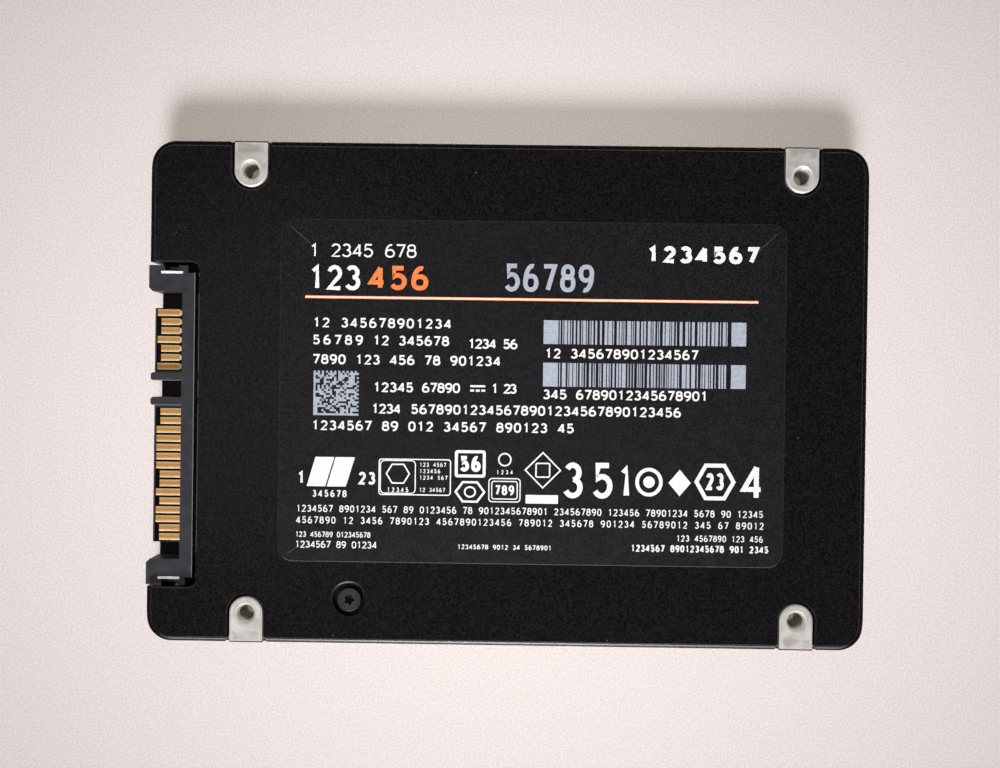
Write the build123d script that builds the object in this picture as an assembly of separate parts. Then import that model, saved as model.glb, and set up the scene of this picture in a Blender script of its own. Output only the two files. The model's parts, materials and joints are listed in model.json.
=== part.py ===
from build123d import *
import os

# A 2.5-inch, 7 mm class solid state drive, in millimetres. The origin is the centre of the flat base
# face. +X runs from the rear (connector) end to the front end, +Y to the left side as seen with the
# label up, and +Z from the base face to the label face.

# Case: a deep base shell with a raised rim, and a plate that drops inside the rim
case_length = 100.0
case_width = 69.85
case_height = 6.8
wall = 1.6
floor = 1.0
rim = 0.5  # thickness of the rim around the cover
rim_drop = 0.2  # rim top below the face of the cover
rim_edge_radius = 0.3
base_edge_radius = 0.8
corner_radius = 3.4
corner_lead = 4.0  # stretch over which an end wall leans in before its corner
corner_lean = 0.35  # how far it leans in
lead_radius = 14.0

# Cover and label
cover_thickness = 1.0
cover_gap = 0.05  # cover edge to rim
cover_bevel = 0.18
label_thickness = 0.1
label_corner_radius = 2.2
label_rear_margin = 18.3
label_front_margin = 11.4
label_left_margin = 10.72
label_right_margin = 11.43

# Threaded mounting blocks, one at each bottom and side hole pair
rear_hole_inset = 14.0
front_hole_inset = 9.4
bottom_hole_inset = 4.065  # bottom hole axis to side face
side_hole_drop = 3.0  # side hole axis below the label face
mount_bore_radius = 1.25
bottom_mouth_bevel = 0.25
bottom_drill_dip = 0.2  # how far the drill of a bottom hole dips into the shell below the block
side_mouth_bevel = 0.2
side_bore_depth = 2.5
block_radius = 2.3
block_bevel = 0.2
block_notch_gap = 0.35  # block to the cover and rim beside it
rim_relief_flare = 0.3
pad_wall = 1.0  # shell metal around a block

# Cover screws: two clamp the board, one holds the front of the cover
board_screw_inset = 28.35  # from the rear end
exposed_screw_inset = 6.075  # from the right side face
covered_screw_inset = 14.4  # from the left side face
front_screw_inset = 18.0  # from the front end
screw_head_radius = 1.675
screw_head_height = 1.2
screw_head_edge = 0.15
screw_shank_radius = 1.0
screw_length = 3.4
drive_lobe_radius = 0.25
drive_lobe_circle = 0.45
drive_core_radius = 0.42
drive_depth = 0.7
recess_radius = 2.2
recess_lip_radius = 0.55
recess_depth = 1.55
cup_floor = 0.8
cup_wall = 1.0
shank_clearance = 0.1
boss_neck_radius = 2.0
boss_neck_clearance = 0.1
tapped_depth = 2.9

# Circuit board
board_thickness = 1.0
board_length = 27.4
board_bar_gap = 0.1  # board to the back bar of the connector
board_side_gap = 1.1  # board edge to the case wall
board_pad_gap = 0.4  # board edge to the pads of the mounting blocks
rest_post_radius = 1.5
rest_post_inset = 3.9  # post axis from the rear edge of the board
rest_post_spacing = 48.0

# Plug connector: a signal tongue and a power tongue between two end blocks
contact_plane_drop = 2.9  # contact face below the label face
board_below_contacts = 0.6  # board top below the contact face
housing_above_contacts = 1.5
housing_floor_gap = 0.1
tongue_thickness = 1.23
key_above_contacts = 1.0
block_front_reach = 0.5  # end blocks past the rear end of the case
tongue_front_reach = 0.15
key_front_reach = 0.3
end_block_length = 5.5
end_block_corner = 0.5
bar_front_setback = 4.2  # front face of the back bar, from the rear end of the case
bar_thickness = 1.8
bar_end_inset = 1.05  # back bar ends inside the outer faces of the end blocks
tongue_bevel = 0.25
key_corner_radius = 0.4
contact_pitch = 1.27
signal_count = 7
power_count = 15
first_signal_y = 11.07
segment_gap = 6.43  # last signal contact to first power contact
key_width = 1.15
signal_tongue_margin = 0.62  # first signal contact to the tongue end
signal_key_margin = 0.865  # last signal contact to its key
power_key_margin = 0.935
power_tongue_margin = 0.73
signal_end_gap = 2.3  # tongue end to end block
power_end_gap = 2.2
signal_block_width = 3.65
power_block_width = 3.61
signal_side_gap = 0.35  # end block to the case opening beside it
power_side_gap = 0.06
opening_setback = 6.85  # rear edge of the cover over the connector, from the rear end of the case
opening_corner_radius = 1.0
ear_length = 3.0
ear_width = 2.6
ear_height = 0.5
peg_radius = 0.6
peg_reach = 0.3  # peg tip below the board
peg_clearance = 0.05

# Contacts
contact_width = 0.95
contact_stem_width = 0.5
contact_thickness = 0.25
contact_proud = 0.05
contact_bed_margin = 0.14  # sunk bed of the contacts past the outer contacts and the long tips
long_contact_setback = 0.45  # contact tip from the tongue front
short_contact_setback = 0.98
long_signal_contacts = (1, 4, 7)
long_power_contacts = (3, 4, 5, 6, 7, 10, 12, 13)
signal_neck_end = 0.5  # where the neck of a contact ends, in front of the bar
power_neck_end = 0.0
contact_neck_length = 0.35
tail_inset = 0.6  # tail bend inside the bar, before its rear face
tail_foot = 2.1

# Board locks: a metal plate in each end block, with a strip to the board
lock_thickness = 0.36
lock_front_setback = 1.65  # plate front behind the face of the end block
lock_length = 3.08
lock_outer_inset = 0.97  # middle of the plate from the outer face of its end block
lock_top_drop = 0.05
lock_bottom_rise = 1.1  # plate bottom above the housing bottom
lock_clearance = 0.07
lock_window = 2.0
lock_window_floor = 0.9  # window sill above the plate bottom
lock_strip_height = 0.85
lock_strip_drop = 0.06  # strip top below the board top
lock_board_reach = 1.4

# Packages on the board
part_gap = 0.5
row_gap = 2.0
package_bevel = 0.08
marker_radius = 0.4
marker_depth = 0.06
main_column = 11.5  # controller and flash packages, from the rear edge of the board
controller_y = -1.0
controller_side = 11.0
controller_height = 1.0
flash_length = 12.0
flash_pad_gap = 1.06  # flash package on the right to the pad of the rear right block
flash_height = 1.2
cache_length = 8.0
cache_width = 12.0
cache_height = 0.9
regulator_side = 5.0
regulator_height = 0.9
inductor_side = 3.2
inductor_height = 1.4
inductor_pitch = 4.2
bulk_length = 3.5
bulk_width = 2.8
bulk_height = 1.5
bulk_pitch_x = 4.1
bulk_pitch_y = 3.8
switch_side = 3.0
switch_height = 0.8
crystal_length = 3.2
crystal_width = 2.5
crystal_height = 0.8
crystal_column = 15.5
chip_length = 1.0
chip_width = 0.5
capacitor_height = 0.5
resistor_height = 0.35
chip_pitch = 1.6
chips_per_row = 7
resistor_column = 3.6
resistors_per_column = 8

match_tolerance = 0.001  # for finding an edge by its radius

# Levels
cover_top = case_height - label_thickness
cover_bottom = cover_top - cover_thickness
rim_top = cover_top - rim_drop
contact_plane = case_height - contact_plane_drop
board_top = contact_plane - board_below_contacts
board_bottom = board_top - board_thickness
housing_bottom = floor + housing_floor_gap
housing_top = contact_plane + housing_above_contacts
tongue_bottom = contact_plane - tongue_thickness
key_top = contact_plane + key_above_contacts
side_hole_z = case_height - side_hole_drop
recess_floor = cover_top - recess_depth
cup_bottom = recess_floor - cup_floor

# Places along the case
rear = -case_length / 2
front = case_length / 2
side_face = case_width / 2
bottom_hole_y = side_face - bottom_hole_inset
mount_holes = [
    (x, side) for x in (rear + rear_hole_inset, front - front_hole_inset) for side in (1, -1)
]
board_screws = [
    (rear + board_screw_inset, -side_face + exposed_screw_inset),
    (rear + board_screw_inset, side_face - covered_screw_inset),
]
front_screw = (front - front_screw_inset, 0.0)
cup_radius = recess_radius + cup_wall

# Places along the connector
bar_front = rear + bar_front_setback
bar_rear = bar_front + bar_thickness
tongue_front = rear - tongue_front_reach
block_front = rear - block_front_reach
board_rear = bar_rear + board_bar_gap
signal_rows = [first_signal_y - contact_pitch * n for n in range(signal_count)]
power_rows = [signal_rows[-1] - segment_gap - contact_pitch * n for n in range(power_count)]
signal_tongue = (signal_rows[-1] - signal_key_margin, signal_rows[0] + signal_tongue_margin)
power_tongue = (power_rows[-1] - power_tongue_margin, power_rows[0] + power_key_margin)
signal_block = (
    signal_tongue[1] + signal_end_gap,
    signal_tongue[1] + signal_end_gap + signal_block_width,
)
power_block = (
    power_tongue[0] - power_end_gap - power_block_width,
    power_tongue[0] - power_end_gap,
)
bar_ends = (power_block[0] + bar_end_inset, signal_block[1] - bar_end_inset)
opening_ends = (power_block[0] - power_side_gap, signal_block[1] + signal_side_gap)


def box(x_span, y_span, z_span):
    """A box between two values along each axis."""
    low = Vector(x_span[0], y_span[0], z_span[0])
    high = Vector(x_span[1], y_span[1], z_span[1])
    size = high - low
    return Pos(*low) * Box(*size, align=(Align.MIN, Align.MIN, Align.MIN))


def cylinder(radius, place, z_span):
    """An upright cylinder between two heights."""
    height = z_span[1] - z_span[0]
    standing = (Align.CENTER, Align.CENTER, Align.MIN)
    return Pos(*place, z_span[0]) * Cylinder(radius, height, align=standing)


def case_outline(inset=0.0):
    """Plan outline of the case, drawn in all round by inset."""
    turns = [
        ((case_length / 2, case_width / 2 - corner_lead), lead_radius),
        ((case_length / 2 - corner_lean, case_width / 2), corner_radius),
    ]
    points = []
    radii = []
    for side_x, side_y in ((1, 1), (-1, 1), (-1, -1), (1, -1)):
        ordered = turns if side_x == side_y else turns[::-1]
        for (x, y), radius in ordered:
            points.append((side_x * x, side_y * y))
            radii.append(radius)
    outline = make_face(FilletPolyline(*points, radius=radii, close=True))
    return offset(outline, -inset) if inset else outline


def tab_outline(hole_x, side, radius, reach):
    """A half circle around a bottom hole, carried straight out to a distance from the middle."""
    length = reach - bottom_hole_y
    straight = Pos(hole_x, side * (bottom_hole_y + length / 2)) * Rectangle(2 * radius, length)
    return straight + Pos(hole_x, side * bottom_hole_y) * Circle(radius)


def block_blank(hole_x, side):
    """A mounting block without its holes: round at its inner end and round below its side hole."""
    plan = extrude(tab_outline(hole_x, side, block_radius, side_face), case_height)
    height = case_height - side_hole_z
    upper = Pos(hole_x, side_hole_z + height / 2) * Rectangle(2 * block_radius, height)
    end_view = upper + Pos(hole_x, side_hole_z) * Circle(block_radius)
    return plan & extrude(Plane.XZ * end_view, case_width, both=True)


def mount_block(hole_x, side):
    """A threaded block with a bottom hole through it and a blind hole from the side face."""
    block = block_blank(hole_x, side)
    top_edges = block.faces().sort_by(Axis.Z)[-1].edges()
    block = chamfer(top_edges, block_bevel)
    axis = (hole_x, side * bottom_hole_y)
    block -= cylinder(mount_bore_radius, axis, (0, case_height))
    mouth_radius = mount_bore_radius + bottom_mouth_bevel
    block -= Pos(*axis, case_height - bottom_mouth_bevel / 2) * Cone(
        mount_bore_radius, mouth_radius, bottom_mouth_bevel
    )
    outwards = Rot(-side * 90, 0, 0)
    bore_middle = side * (side_face - side_bore_depth / 2)
    block -= Pos(hole_x, bore_middle, side_hole_z) * outwards * Cylinder(
        mount_bore_radius, side_bore_depth
    )
    mouth_middle = side * (side_face - side_mouth_bevel / 2)
    block -= Pos(hole_x, mouth_middle, side_hole_z) * outwards * Cone(
        mount_bore_radius, mount_bore_radius + side_mouth_bevel, side_mouth_bevel
    )
    return block


def rim_relief(hole_x, side):
    """The break in the rim beside a block, which flares towards the side face."""
    half = block_radius + block_notch_gap
    inner = side_face - rim - cover_gap
    outer = side_face + cover_gap
    corners = [
        (hole_x - half, side * inner),
        (hole_x + half, side * inner),
        (hole_x + half + rim_relief_flare, side * outer),
        (hole_x - half - rim_relief_flare, side * outer),
    ]
    return Pos(0, 0, cover_bottom) * extrude(make_face(Polyline(*corners, close=True)), case_height)


def connector_opening(depth, corner):
    """Plan of the opening over the connector, from behind the case to a depth inside its rear end."""
    middle = sum(opening_ends) / 2
    width = opening_ends[1] - opening_ends[0]
    reach = block_front_reach + depth
    plan = Pos(rear + depth - reach / 2, middle) * Rectangle(reach, width)
    if corner:
        plan = fillet(plan.vertices().group_by(Axis.X)[-1], corner)
    return plan


def base_shell():
    """The deep half of the case, with pads for the blocks, screw bosses and posts under the board."""
    shell = extrude(case_outline(), rim_top)
    shell = fillet(shell.faces().sort_by(Axis.Z)[0].edges(), base_edge_radius)
    shell = fillet(shell.faces().sort_by(Axis.Z)[-1].edges(), rim_edge_radius)
    shell -= Pos(0, 0, cover_bottom) * extrude(case_outline(rim), case_height)
    shell -= Pos(0, 0, floor) * extrude(case_outline(wall), case_height)
    for hole_x, side in mount_holes:
        pad = tab_outline(hole_x, side, block_radius + pad_wall, side_face - wall / 2)
        shell += Pos(0, 0, floor / 2) * extrude(pad, cover_bottom - floor / 2)
    for place in board_screws:
        shell += cylinder(cup_radius, place, (floor / 2, board_bottom))
        shell += cylinder(boss_neck_radius, place, (floor / 2, cup_bottom))
    shell += cylinder(cup_radius, front_screw, (floor / 2, cup_bottom))
    for side in (1, -1):
        post = (board_rear + rest_post_inset, side * rest_post_spacing / 2)
        shell += cylinder(rest_post_radius, post, (floor / 2, board_bottom))
    for hole_x, side in mount_holes:
        shell -= block_blank(hole_x, side)
        shell -= rim_relief(hole_x, side)
        drill_tip = (side_hole_z - block_radius - bottom_drill_dip, side_hole_z)
        shell -= cylinder(mount_bore_radius, (hole_x, side * bottom_hole_y), drill_tip)
    for place in (*board_screws, front_screw):
        shell -= cylinder(screw_shank_radius, place, (cup_bottom - tapped_depth, cup_bottom))
    shell -= Pos(0, 0, floor) * extrude(connector_opening(wall + board_side_gap, 0), case_height)
    return shell


def label_cover():
    """The flat half of the case, with a cup for each screw and notches for blocks and connector."""
    plate = Pos(0, 0, cover_bottom) * extrude(case_outline(rim + cover_gap), cover_thickness)
    for hole_x, side in mount_holes:
        notch = tab_outline(hole_x, side, block_radius + block_notch_gap, side_face)
        plate -= Pos(0, 0, cover_bottom) * extrude(notch, cover_thickness)
    opening = connector_opening(opening_setback, opening_corner_radius)
    plate -= Pos(0, 0, cover_bottom) * extrude(opening, cover_thickness)
    plate = chamfer(plate.faces().sort_by(Axis.Z)[-1].edges(), cover_bevel)
    for place in board_screws:
        plate += cylinder(cup_radius, place, (board_top, cover_bottom))
        neck_room = boss_neck_radius + boss_neck_clearance
        plate -= cylinder(neck_room, place, (board_top, cup_bottom))
    plate += cylinder(cup_radius, front_screw, (cup_bottom, cover_bottom))
    for place in (*board_screws, front_screw):
        plate -= cylinder(recess_radius, place, (recess_floor, cover_top))
        plate -= cylinder(screw_shank_radius + shank_clearance, place, (cup_bottom, recess_floor))
    top_circles = plate.edges().filter_by(GeomType.CIRCLE).group_by(Axis.Z)[-1]
    mouths = top_circles.filter_by(lambda edge: abs(edge.radius - recess_radius) < match_tolerance)
    return fillet(mouths, recess_lip_radius)


def label_sheet():
    """The printed sheet on the face of the cover."""
    x_span = (rear + label_rear_margin, front - label_front_margin)
    y_span = (-side_face + label_right_margin, side_face - label_left_margin)
    middle = (sum(x_span) / 2, sum(y_span) / 2, cover_top)
    plan = RectangleRounded(x_span[1] - x_span[0], y_span[1] - y_span[0], label_corner_radius)
    return Pos(*middle) * extrude(plan, label_thickness)


def cover_screw(place):
    """A small screw with a five-lobed drive in a low round head."""
    head_top = recess_floor + screw_head_height
    head = cylinder(screw_head_radius, place, (recess_floor, head_top))
    head = fillet(head.edges().group_by(Axis.Z)[-1], screw_head_edge)
    lobes = PolarLocations(drive_lobe_circle, 5) * Circle(drive_lobe_radius)
    drive = Circle(drive_core_radius) + lobes
    head -= Pos(*place, head_top - drive_depth) * extrude(drive, drive_depth)
    return head + cylinder(screw_shank_radius, place, (recess_floor - screw_length, recess_floor))


def lock_outline(growth=0.0):
    """Side view of a board lock: an upright plate with a strip that runs back into the board."""
    plate_front = block_front + lock_front_setback
    plate_rear = plate_front + lock_length
    bottom = housing_bottom + lock_bottom_rise
    strip_top = board_top - lock_strip_drop
    strip_bottom = strip_top - lock_strip_height
    return make_face(
        Polyline(
            (plate_front - growth, bottom),
            (plate_front - growth, housing_top - lock_top_drop + growth),
            (plate_rear + growth, housing_top - lock_top_drop + growth),
            (plate_rear + growth, strip_top),
            (board_rear + lock_board_reach, strip_top),
            (board_rear + lock_board_reach, strip_bottom),
            (plate_rear, strip_bottom),
            (plate_rear, bottom),
            close=True,
        )
    )


def lock_middle(block, outward):
    """Y of the middle of the lock in an end block, which faces outward along +Y or -Y."""
    outer_face = block[1] if outward > 0 else block[0]
    return outer_face - outward * lock_outer_inset


def lock_solid(block, outward, clearance=0.0):
    """A board lock, or with a clearance the slot that it drops into."""
    upright = Plane.XZ.offset(-lock_middle(block, outward))
    return extrude(upright * lock_outline(clearance), lock_thickness / 2 + clearance, both=True)


def contact_solid(row_y, setback, neck_end):
    """One gold-plated blade: flat on its tongue, down inside the back bar, and out to a soldered foot."""
    tip = tongue_front + setback
    top = contact_plane + contact_proud
    bottom = top - contact_thickness
    bend = bar_rear - tail_inset
    foot_top = board_top + contact_thickness
    side_view = Polyline(
        (tip, bottom),
        (tip, top),
        (bend + contact_thickness, top),
        (bend + contact_thickness, foot_top),
        (bend + tail_foot, foot_top),
        (bend + tail_foot, board_top),
        (bend, board_top),
        (bend, bottom),
        close=True,
    )
    neck_rear = bar_front - neck_end
    neck_front = neck_rear - contact_neck_length
    half = contact_width / 2
    stem = contact_stem_width / 2
    plan = Polyline(
        (tip, -half),
        (neck_front, -half),
        (neck_rear, -stem),
        (bend + tail_foot, -stem),
        (bend + tail_foot, stem),
        (neck_rear, stem),
        (neck_front, half),
        (tip, half),
        close=True,
    )
    blade = extrude(Plane.XZ * make_face(side_view), contact_width, both=True)
    blade &= extrude(make_face(plan), case_height)
    return Pos(0, row_y, 0) * blade


def signal_contacts():
    """Solids of the signal contacts, the long ones first to mate."""
    solids = []
    for number, row_y in enumerate(signal_rows, 1):
        is_long = number in long_signal_contacts
        setback = long_contact_setback if is_long else short_contact_setback
        solids.append(contact_solid(row_y, setback, signal_neck_end))
    return solids


def power_contacts():
    """Solids of the power contacts, the long ones first to mate."""
    solids = []
    for number, row_y in enumerate(power_rows, 1):
        is_long = number in long_power_contacts
        setback = long_contact_setback if is_long else short_contact_setback
        solids.append(contact_solid(row_y, setback, power_neck_end))
    return solids


def tongue(span, key_low, rows):
    """A contact tongue, sunk around its contacts, with its raised key along one end."""
    blade = box((tongue_front, bar_front), span, (tongue_bottom, contact_plane))
    blade = chamfer(blade.faces().sort_by(Axis.X)[0].edges().filter_by(Axis.Y), tongue_bevel)
    margin = contact_width / 2 + contact_bed_margin
    bed_front = tongue_front + long_contact_setback - contact_bed_margin
    bed_floor = contact_plane + contact_proud - contact_thickness
    bed_rows = (rows[-1] - margin, rows[0] + margin)
    blade -= box((bed_front, bar_front), bed_rows, (bed_floor, contact_plane))
    key_front = rear - key_front_reach
    key = box((key_front, bar_front), (key_low, key_low + key_width), (tongue_bottom, key_top))
    key = fillet(key.edges().filter_by(Axis.Z).group_by(Axis.X)[0], key_corner_radius)
    return blade + key


def end_block(span, outward):
    """An end block that guides the plug, with a corner cut on the side of the tongues."""
    block = box(
        (block_front, block_front + end_block_length), span, (housing_bottom, housing_top)
    )
    front_corners = block.edges().filter_by(Axis.Z).group_by(Axis.X)[0].sort_by(Axis.Y)
    inner_corner = front_corners[0] if outward > 0 else front_corners[-1]
    block = chamfer(inner_corner, end_block_corner)
    block -= lock_solid(span, outward, lock_clearance)
    middle_x = block_front + lock_front_setback + lock_length / 2
    sill = housing_bottom + lock_bottom_rise + lock_window_floor
    lock_y = lock_middle(span, outward)
    window_ends = sorted((lock_y, lock_y + outward * 2 * lock_outer_inset))
    window = (middle_x - lock_window / 2, middle_x + lock_window / 2)
    return block - box(window, window_ends, (sill, case_height))


def connector_housing():
    """The moulded body of the plug connector."""
    housing = box((bar_front, bar_rear), bar_ends, (housing_bottom, housing_top))
    housing += tongue(signal_tongue, signal_tongue[0] - key_width, signal_rows)
    housing += tongue(power_tongue, power_tongue[1], power_rows)
    for span, outward in ((signal_block, 1), (power_block, -1)):
        housing += end_block(span, outward)
        ear_outer = span[1] - bar_end_inset if outward > 0 else span[0] + bar_end_inset
        ear = sorted((ear_outer, ear_outer - outward * ear_width))
        ear_rear = bar_rear + ear_length
        housing += box((bar_front, ear_rear), ear, (board_top, board_top + ear_height))
        peg = (ear_rear - ear_width / 2, sum(ear) / 2)
        housing += cylinder(peg_radius, peg, (board_bottom - peg_reach, board_top))
    for contact in (*signal_contacts(), *power_contacts()):
        housing -= contact
    for span, outward in ((signal_block, 1), (power_block, -1)):
        housing -= lock_solid(span, outward, lock_clearance)
    return housing


def circuit_board():
    """The board, notched around the pads of the blocks and drilled for screws, pegs and locks."""
    half_width = side_face - wall - board_side_gap
    board = box(
        (board_rear, board_rear + board_length), (-half_width, half_width), (board_bottom, board_top)
    )
    for hole_x, side in mount_holes[:2]:
        radius = block_radius + pad_wall + board_pad_gap
        notch = tab_outline(hole_x, side, radius, side_face)
        board -= Pos(0, 0, board_bottom) * extrude(notch, board_thickness)
    for place in board_screws:
        hole_radius = boss_neck_radius + boss_neck_clearance
        board -= cylinder(hole_radius, place, (board_bottom, board_top))
    for span, outward in ((signal_block, 1), (power_block, -1)):
        ear_outer = span[1] - bar_end_inset if outward > 0 else span[0] + bar_end_inset
        peg = (bar_rear + ear_length - ear_width / 2, ear_outer - outward * ear_width / 2)
        board -= cylinder(peg_radius + peg_clearance, peg, (board_bottom, board_top))
        board -= lock_solid(span, outward, lock_clearance)
    return board


def on_board(column, y):
    """A place on the board, from its rear edge and the middle of the case."""
    return (board_rear + column, y, board_top)


def standing_box(length, width, height, place):
    """A box that stands on the middle of its underside."""
    return Pos(*place) * Box(length, width, height, align=(Align.CENTER, Align.CENTER, Align.MIN))


def package(length, width, height, place):
    """A moulded package with bevelled top edges and a round mark at its first corner."""
    body = standing_box(length, width, height, place)
    body = chamfer(body.faces().sort_by(Axis.Z)[-1].edges(), package_bevel)
    mark_x = place[0] - length / 2 + 3 * marker_radius
    mark_y = place[1] + width / 2 - 3 * marker_radius
    top = place[2] + height
    return body - cylinder(marker_radius, (mark_x, mark_y), (top - marker_depth, top))


def chip(height, place, turned=False):
    """A small two-ended part, along X or turned along Y."""
    size = (chip_width, chip_length) if turned else (chip_length, chip_width)
    return standing_box(*size, height, place)


def thermal_pad(length, width, height, place):
    """A soft pad between the top of a package and the cover."""
    bottom = board_top + height
    pad_place = (place[0], place[1], bottom)
    return standing_box(length - part_gap, width - part_gap, cover_bottom - bottom, pad_place)


# Places of the packages
half_rows = controller_side / 2 + row_gap
pad_face = bottom_hole_y - block_radius - pad_wall
flash_width = pad_face - flash_pad_gap + controller_y - half_rows
controller_place = on_board(main_column, controller_y)
flash_left_place = on_board(main_column, controller_y + half_rows + flash_width / 2)
flash_right_place = on_board(main_column, controller_y - half_rows - flash_width / 2)
second_column = main_column + flash_length / 2 + part_gap + cache_length / 2
cache_place = on_board(second_column, controller_y)
regulator_y = controller_y - cache_width / 2 - 4 * part_gap - regulator_side / 2
regulator_place = on_board(second_column, regulator_y)
inductor_y = regulator_y - regulator_side / 2 - 2 * part_gap - inductor_side / 2
inductor_places = [
    on_board(second_column - inductor_pitch / 2, inductor_y),
    on_board(second_column + inductor_pitch / 2, inductor_y),
    on_board(second_column - inductor_pitch / 2, inductor_y - inductor_pitch),
]
switch_place = on_board(second_column + inductor_pitch / 2, inductor_y - inductor_pitch)
bulk_y = controller_y + cache_width / 2 + 3 * part_gap + bulk_width / 2
bulk_places = [
    on_board(second_column + bulk_pitch_x * (column - 0.5), bulk_y + bulk_pitch_y * row)
    for row in range(2)
    for column in range(2)
]
crystal_y = flash_left_place[1] + flash_width / 2 + row_gap + crystal_width / 2
capacitor_row = controller_side / 2 + row_gap / 2
capacitor_places = [
    on_board(main_column + chip_pitch * (n - (chips_per_row - 1) / 2), controller_y + row)
    for row in (capacitor_row, -capacitor_row)
    for n in range(chips_per_row)
]
resistor_places = [
    on_board(resistor_column, controller_y + chip_pitch * (n - (resistors_per_column - 1) / 2))
    for n in range(resistors_per_column)
]

nodes = {
    "base_shell": base_shell(),
    "label_cover": label_cover(),
    "label_sheet": label_sheet(),
    "cover_screws": [cover_screw(place) for place in (*board_screws, front_screw)],
    "circuit_board": circuit_board(),
    "connector_housing": connector_housing(),
    "signal_contacts": signal_contacts(),
    "power_contacts": power_contacts(),
    "board_lock_left": lock_solid(signal_block, 1),
    "board_lock_right": lock_solid(power_block, -1),
    "controller_chip": package(
        controller_side, controller_side, controller_height, controller_place
    ),
    "cache_memory_chip": package(cache_length, cache_width, cache_height, cache_place),
    "flash_package_left": package(flash_length, flash_width, flash_height, flash_left_place),
    "flash_package_right": package(flash_length, flash_width, flash_height, flash_right_place),
    "controller_thermal_pad": thermal_pad(
        controller_side, controller_side, controller_height, controller_place
    ),
    "power_management_chip": package(
        regulator_side, regulator_side, regulator_height, regulator_place
    ),
    "power_inductors": [
        package(inductor_side, inductor_side, inductor_height, place) for place in inductor_places
    ],
    "load_switch_chip": package(switch_side, switch_side, switch_height, switch_place),
    "bulk_capacitors": [
        package(bulk_length, bulk_width, bulk_height, place) for place in bulk_places
    ],
    "crystal_oscillator": package(
        crystal_length, crystal_width, crystal_height, on_board(crystal_column, crystal_y)
    ),
    "decoupling_capacitors": [chip(capacitor_height, place, True) for place in capacitor_places],
    "chip_resistors": [chip(resistor_height, place) for place in resistor_places],
}
block_names = ("rear_left", "rear_right", "front_left", "front_right")
for name, (hole_x, side) in zip(block_names, mount_holes):
    nodes[f"mount_block_{name}"] = mount_block(hole_x, side)

os.makedirs("parts", exist_ok=True)
for name, shape in nodes.items():
    whole = Compound(children=shape) if isinstance(shape, list) else shape
    export_step(whole, os.path.join("parts", f"{name}.step"))
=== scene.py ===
"""Finishes, label print, threads and studio of a 2.5-inch solid state drive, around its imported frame.

Lengths are in millimetres until a mesh is made, and Blender's own are in metres. The frame's origin
is the middle of the flat base face, +X runs away from the plug connector and +Z towards the label.
"""

from __future__ import annotations

import json
import logging
import math
from collections.abc import Iterable, Sequence
from dataclasses import dataclass, field
from enum import Enum

import bpy
import numpy as np
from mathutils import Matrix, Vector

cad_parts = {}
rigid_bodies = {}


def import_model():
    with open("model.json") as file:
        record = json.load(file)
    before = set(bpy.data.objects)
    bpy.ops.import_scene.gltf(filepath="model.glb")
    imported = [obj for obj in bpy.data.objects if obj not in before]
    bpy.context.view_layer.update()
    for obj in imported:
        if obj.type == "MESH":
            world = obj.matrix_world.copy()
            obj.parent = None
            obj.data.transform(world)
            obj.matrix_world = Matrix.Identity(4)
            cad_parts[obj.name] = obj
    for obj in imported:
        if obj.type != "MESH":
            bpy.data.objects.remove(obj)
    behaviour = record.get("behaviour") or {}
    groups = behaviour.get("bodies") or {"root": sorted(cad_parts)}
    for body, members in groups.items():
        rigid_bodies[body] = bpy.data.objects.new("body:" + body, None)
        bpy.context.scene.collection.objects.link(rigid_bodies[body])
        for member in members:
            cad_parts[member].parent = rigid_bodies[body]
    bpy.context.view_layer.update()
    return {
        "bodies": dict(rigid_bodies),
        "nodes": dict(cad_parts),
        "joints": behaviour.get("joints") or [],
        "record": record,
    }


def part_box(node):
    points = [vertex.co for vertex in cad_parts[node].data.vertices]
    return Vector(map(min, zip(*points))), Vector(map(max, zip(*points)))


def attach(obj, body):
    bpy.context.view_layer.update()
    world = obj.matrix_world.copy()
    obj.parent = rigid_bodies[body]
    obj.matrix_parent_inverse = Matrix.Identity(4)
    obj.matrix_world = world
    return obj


LOG = logging.getLogger("solid_state_drive")
MM = 0.001
LEAST_SQUARED_MEAN = 0.25
Colour = tuple[float, float, float]
Point = tuple[float, float]
Socket = bpy.types.NodeSocket


# ---- Places -------------------------------------------------------------------------------


@dataclass(frozen=True)
class Span:
    """A stretch along one axis in millimetres, or of a value."""

    low: float
    high: float

    @property
    def middle(self) -> float:
        """The point half way along."""
        return (self.low + self.high) / 2

    @property
    def length(self) -> float:
        """The distance from end to end."""
        return self.high - self.low

    @property
    def metres(self) -> Span:
        """The same span in metres."""
        return Span(self.low * MM, self.high * MM)

    def moved(self, distance: float) -> Span:
        """The same span further along."""
        return Span(self.low + distance, self.high + distance)

    def shrunk(self, inset: float) -> Span:
        """The span less an inset at each end."""
        return Span(self.low + inset, self.high - inset)


ANYWHERE = Span(-200.0, 200.0)
WHOLE = Span(0.0, 1.0)
FALLING = Span(1.0, 0.0)
GRAIN_RANGE = Span(0.3, 0.7)
TONE_RANGE = Span(0.35, 0.65)


@dataclass(frozen=True)
class Room:
    """A box in millimetres, without ends along an axis that isn't given."""

    x: Span = ANYWHERE
    y: Span = ANYWHERE
    z: Span = ANYWHERE

    @classmethod
    def of(cls, node: str) -> Room:
        """The space that a node of the frame takes."""
        low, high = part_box(node)
        return cls(*(Span(a / MM, b / MM) for a, b in zip(low, high)))


# ---- Surfaces -----------------------------------------------------------------------------


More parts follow.
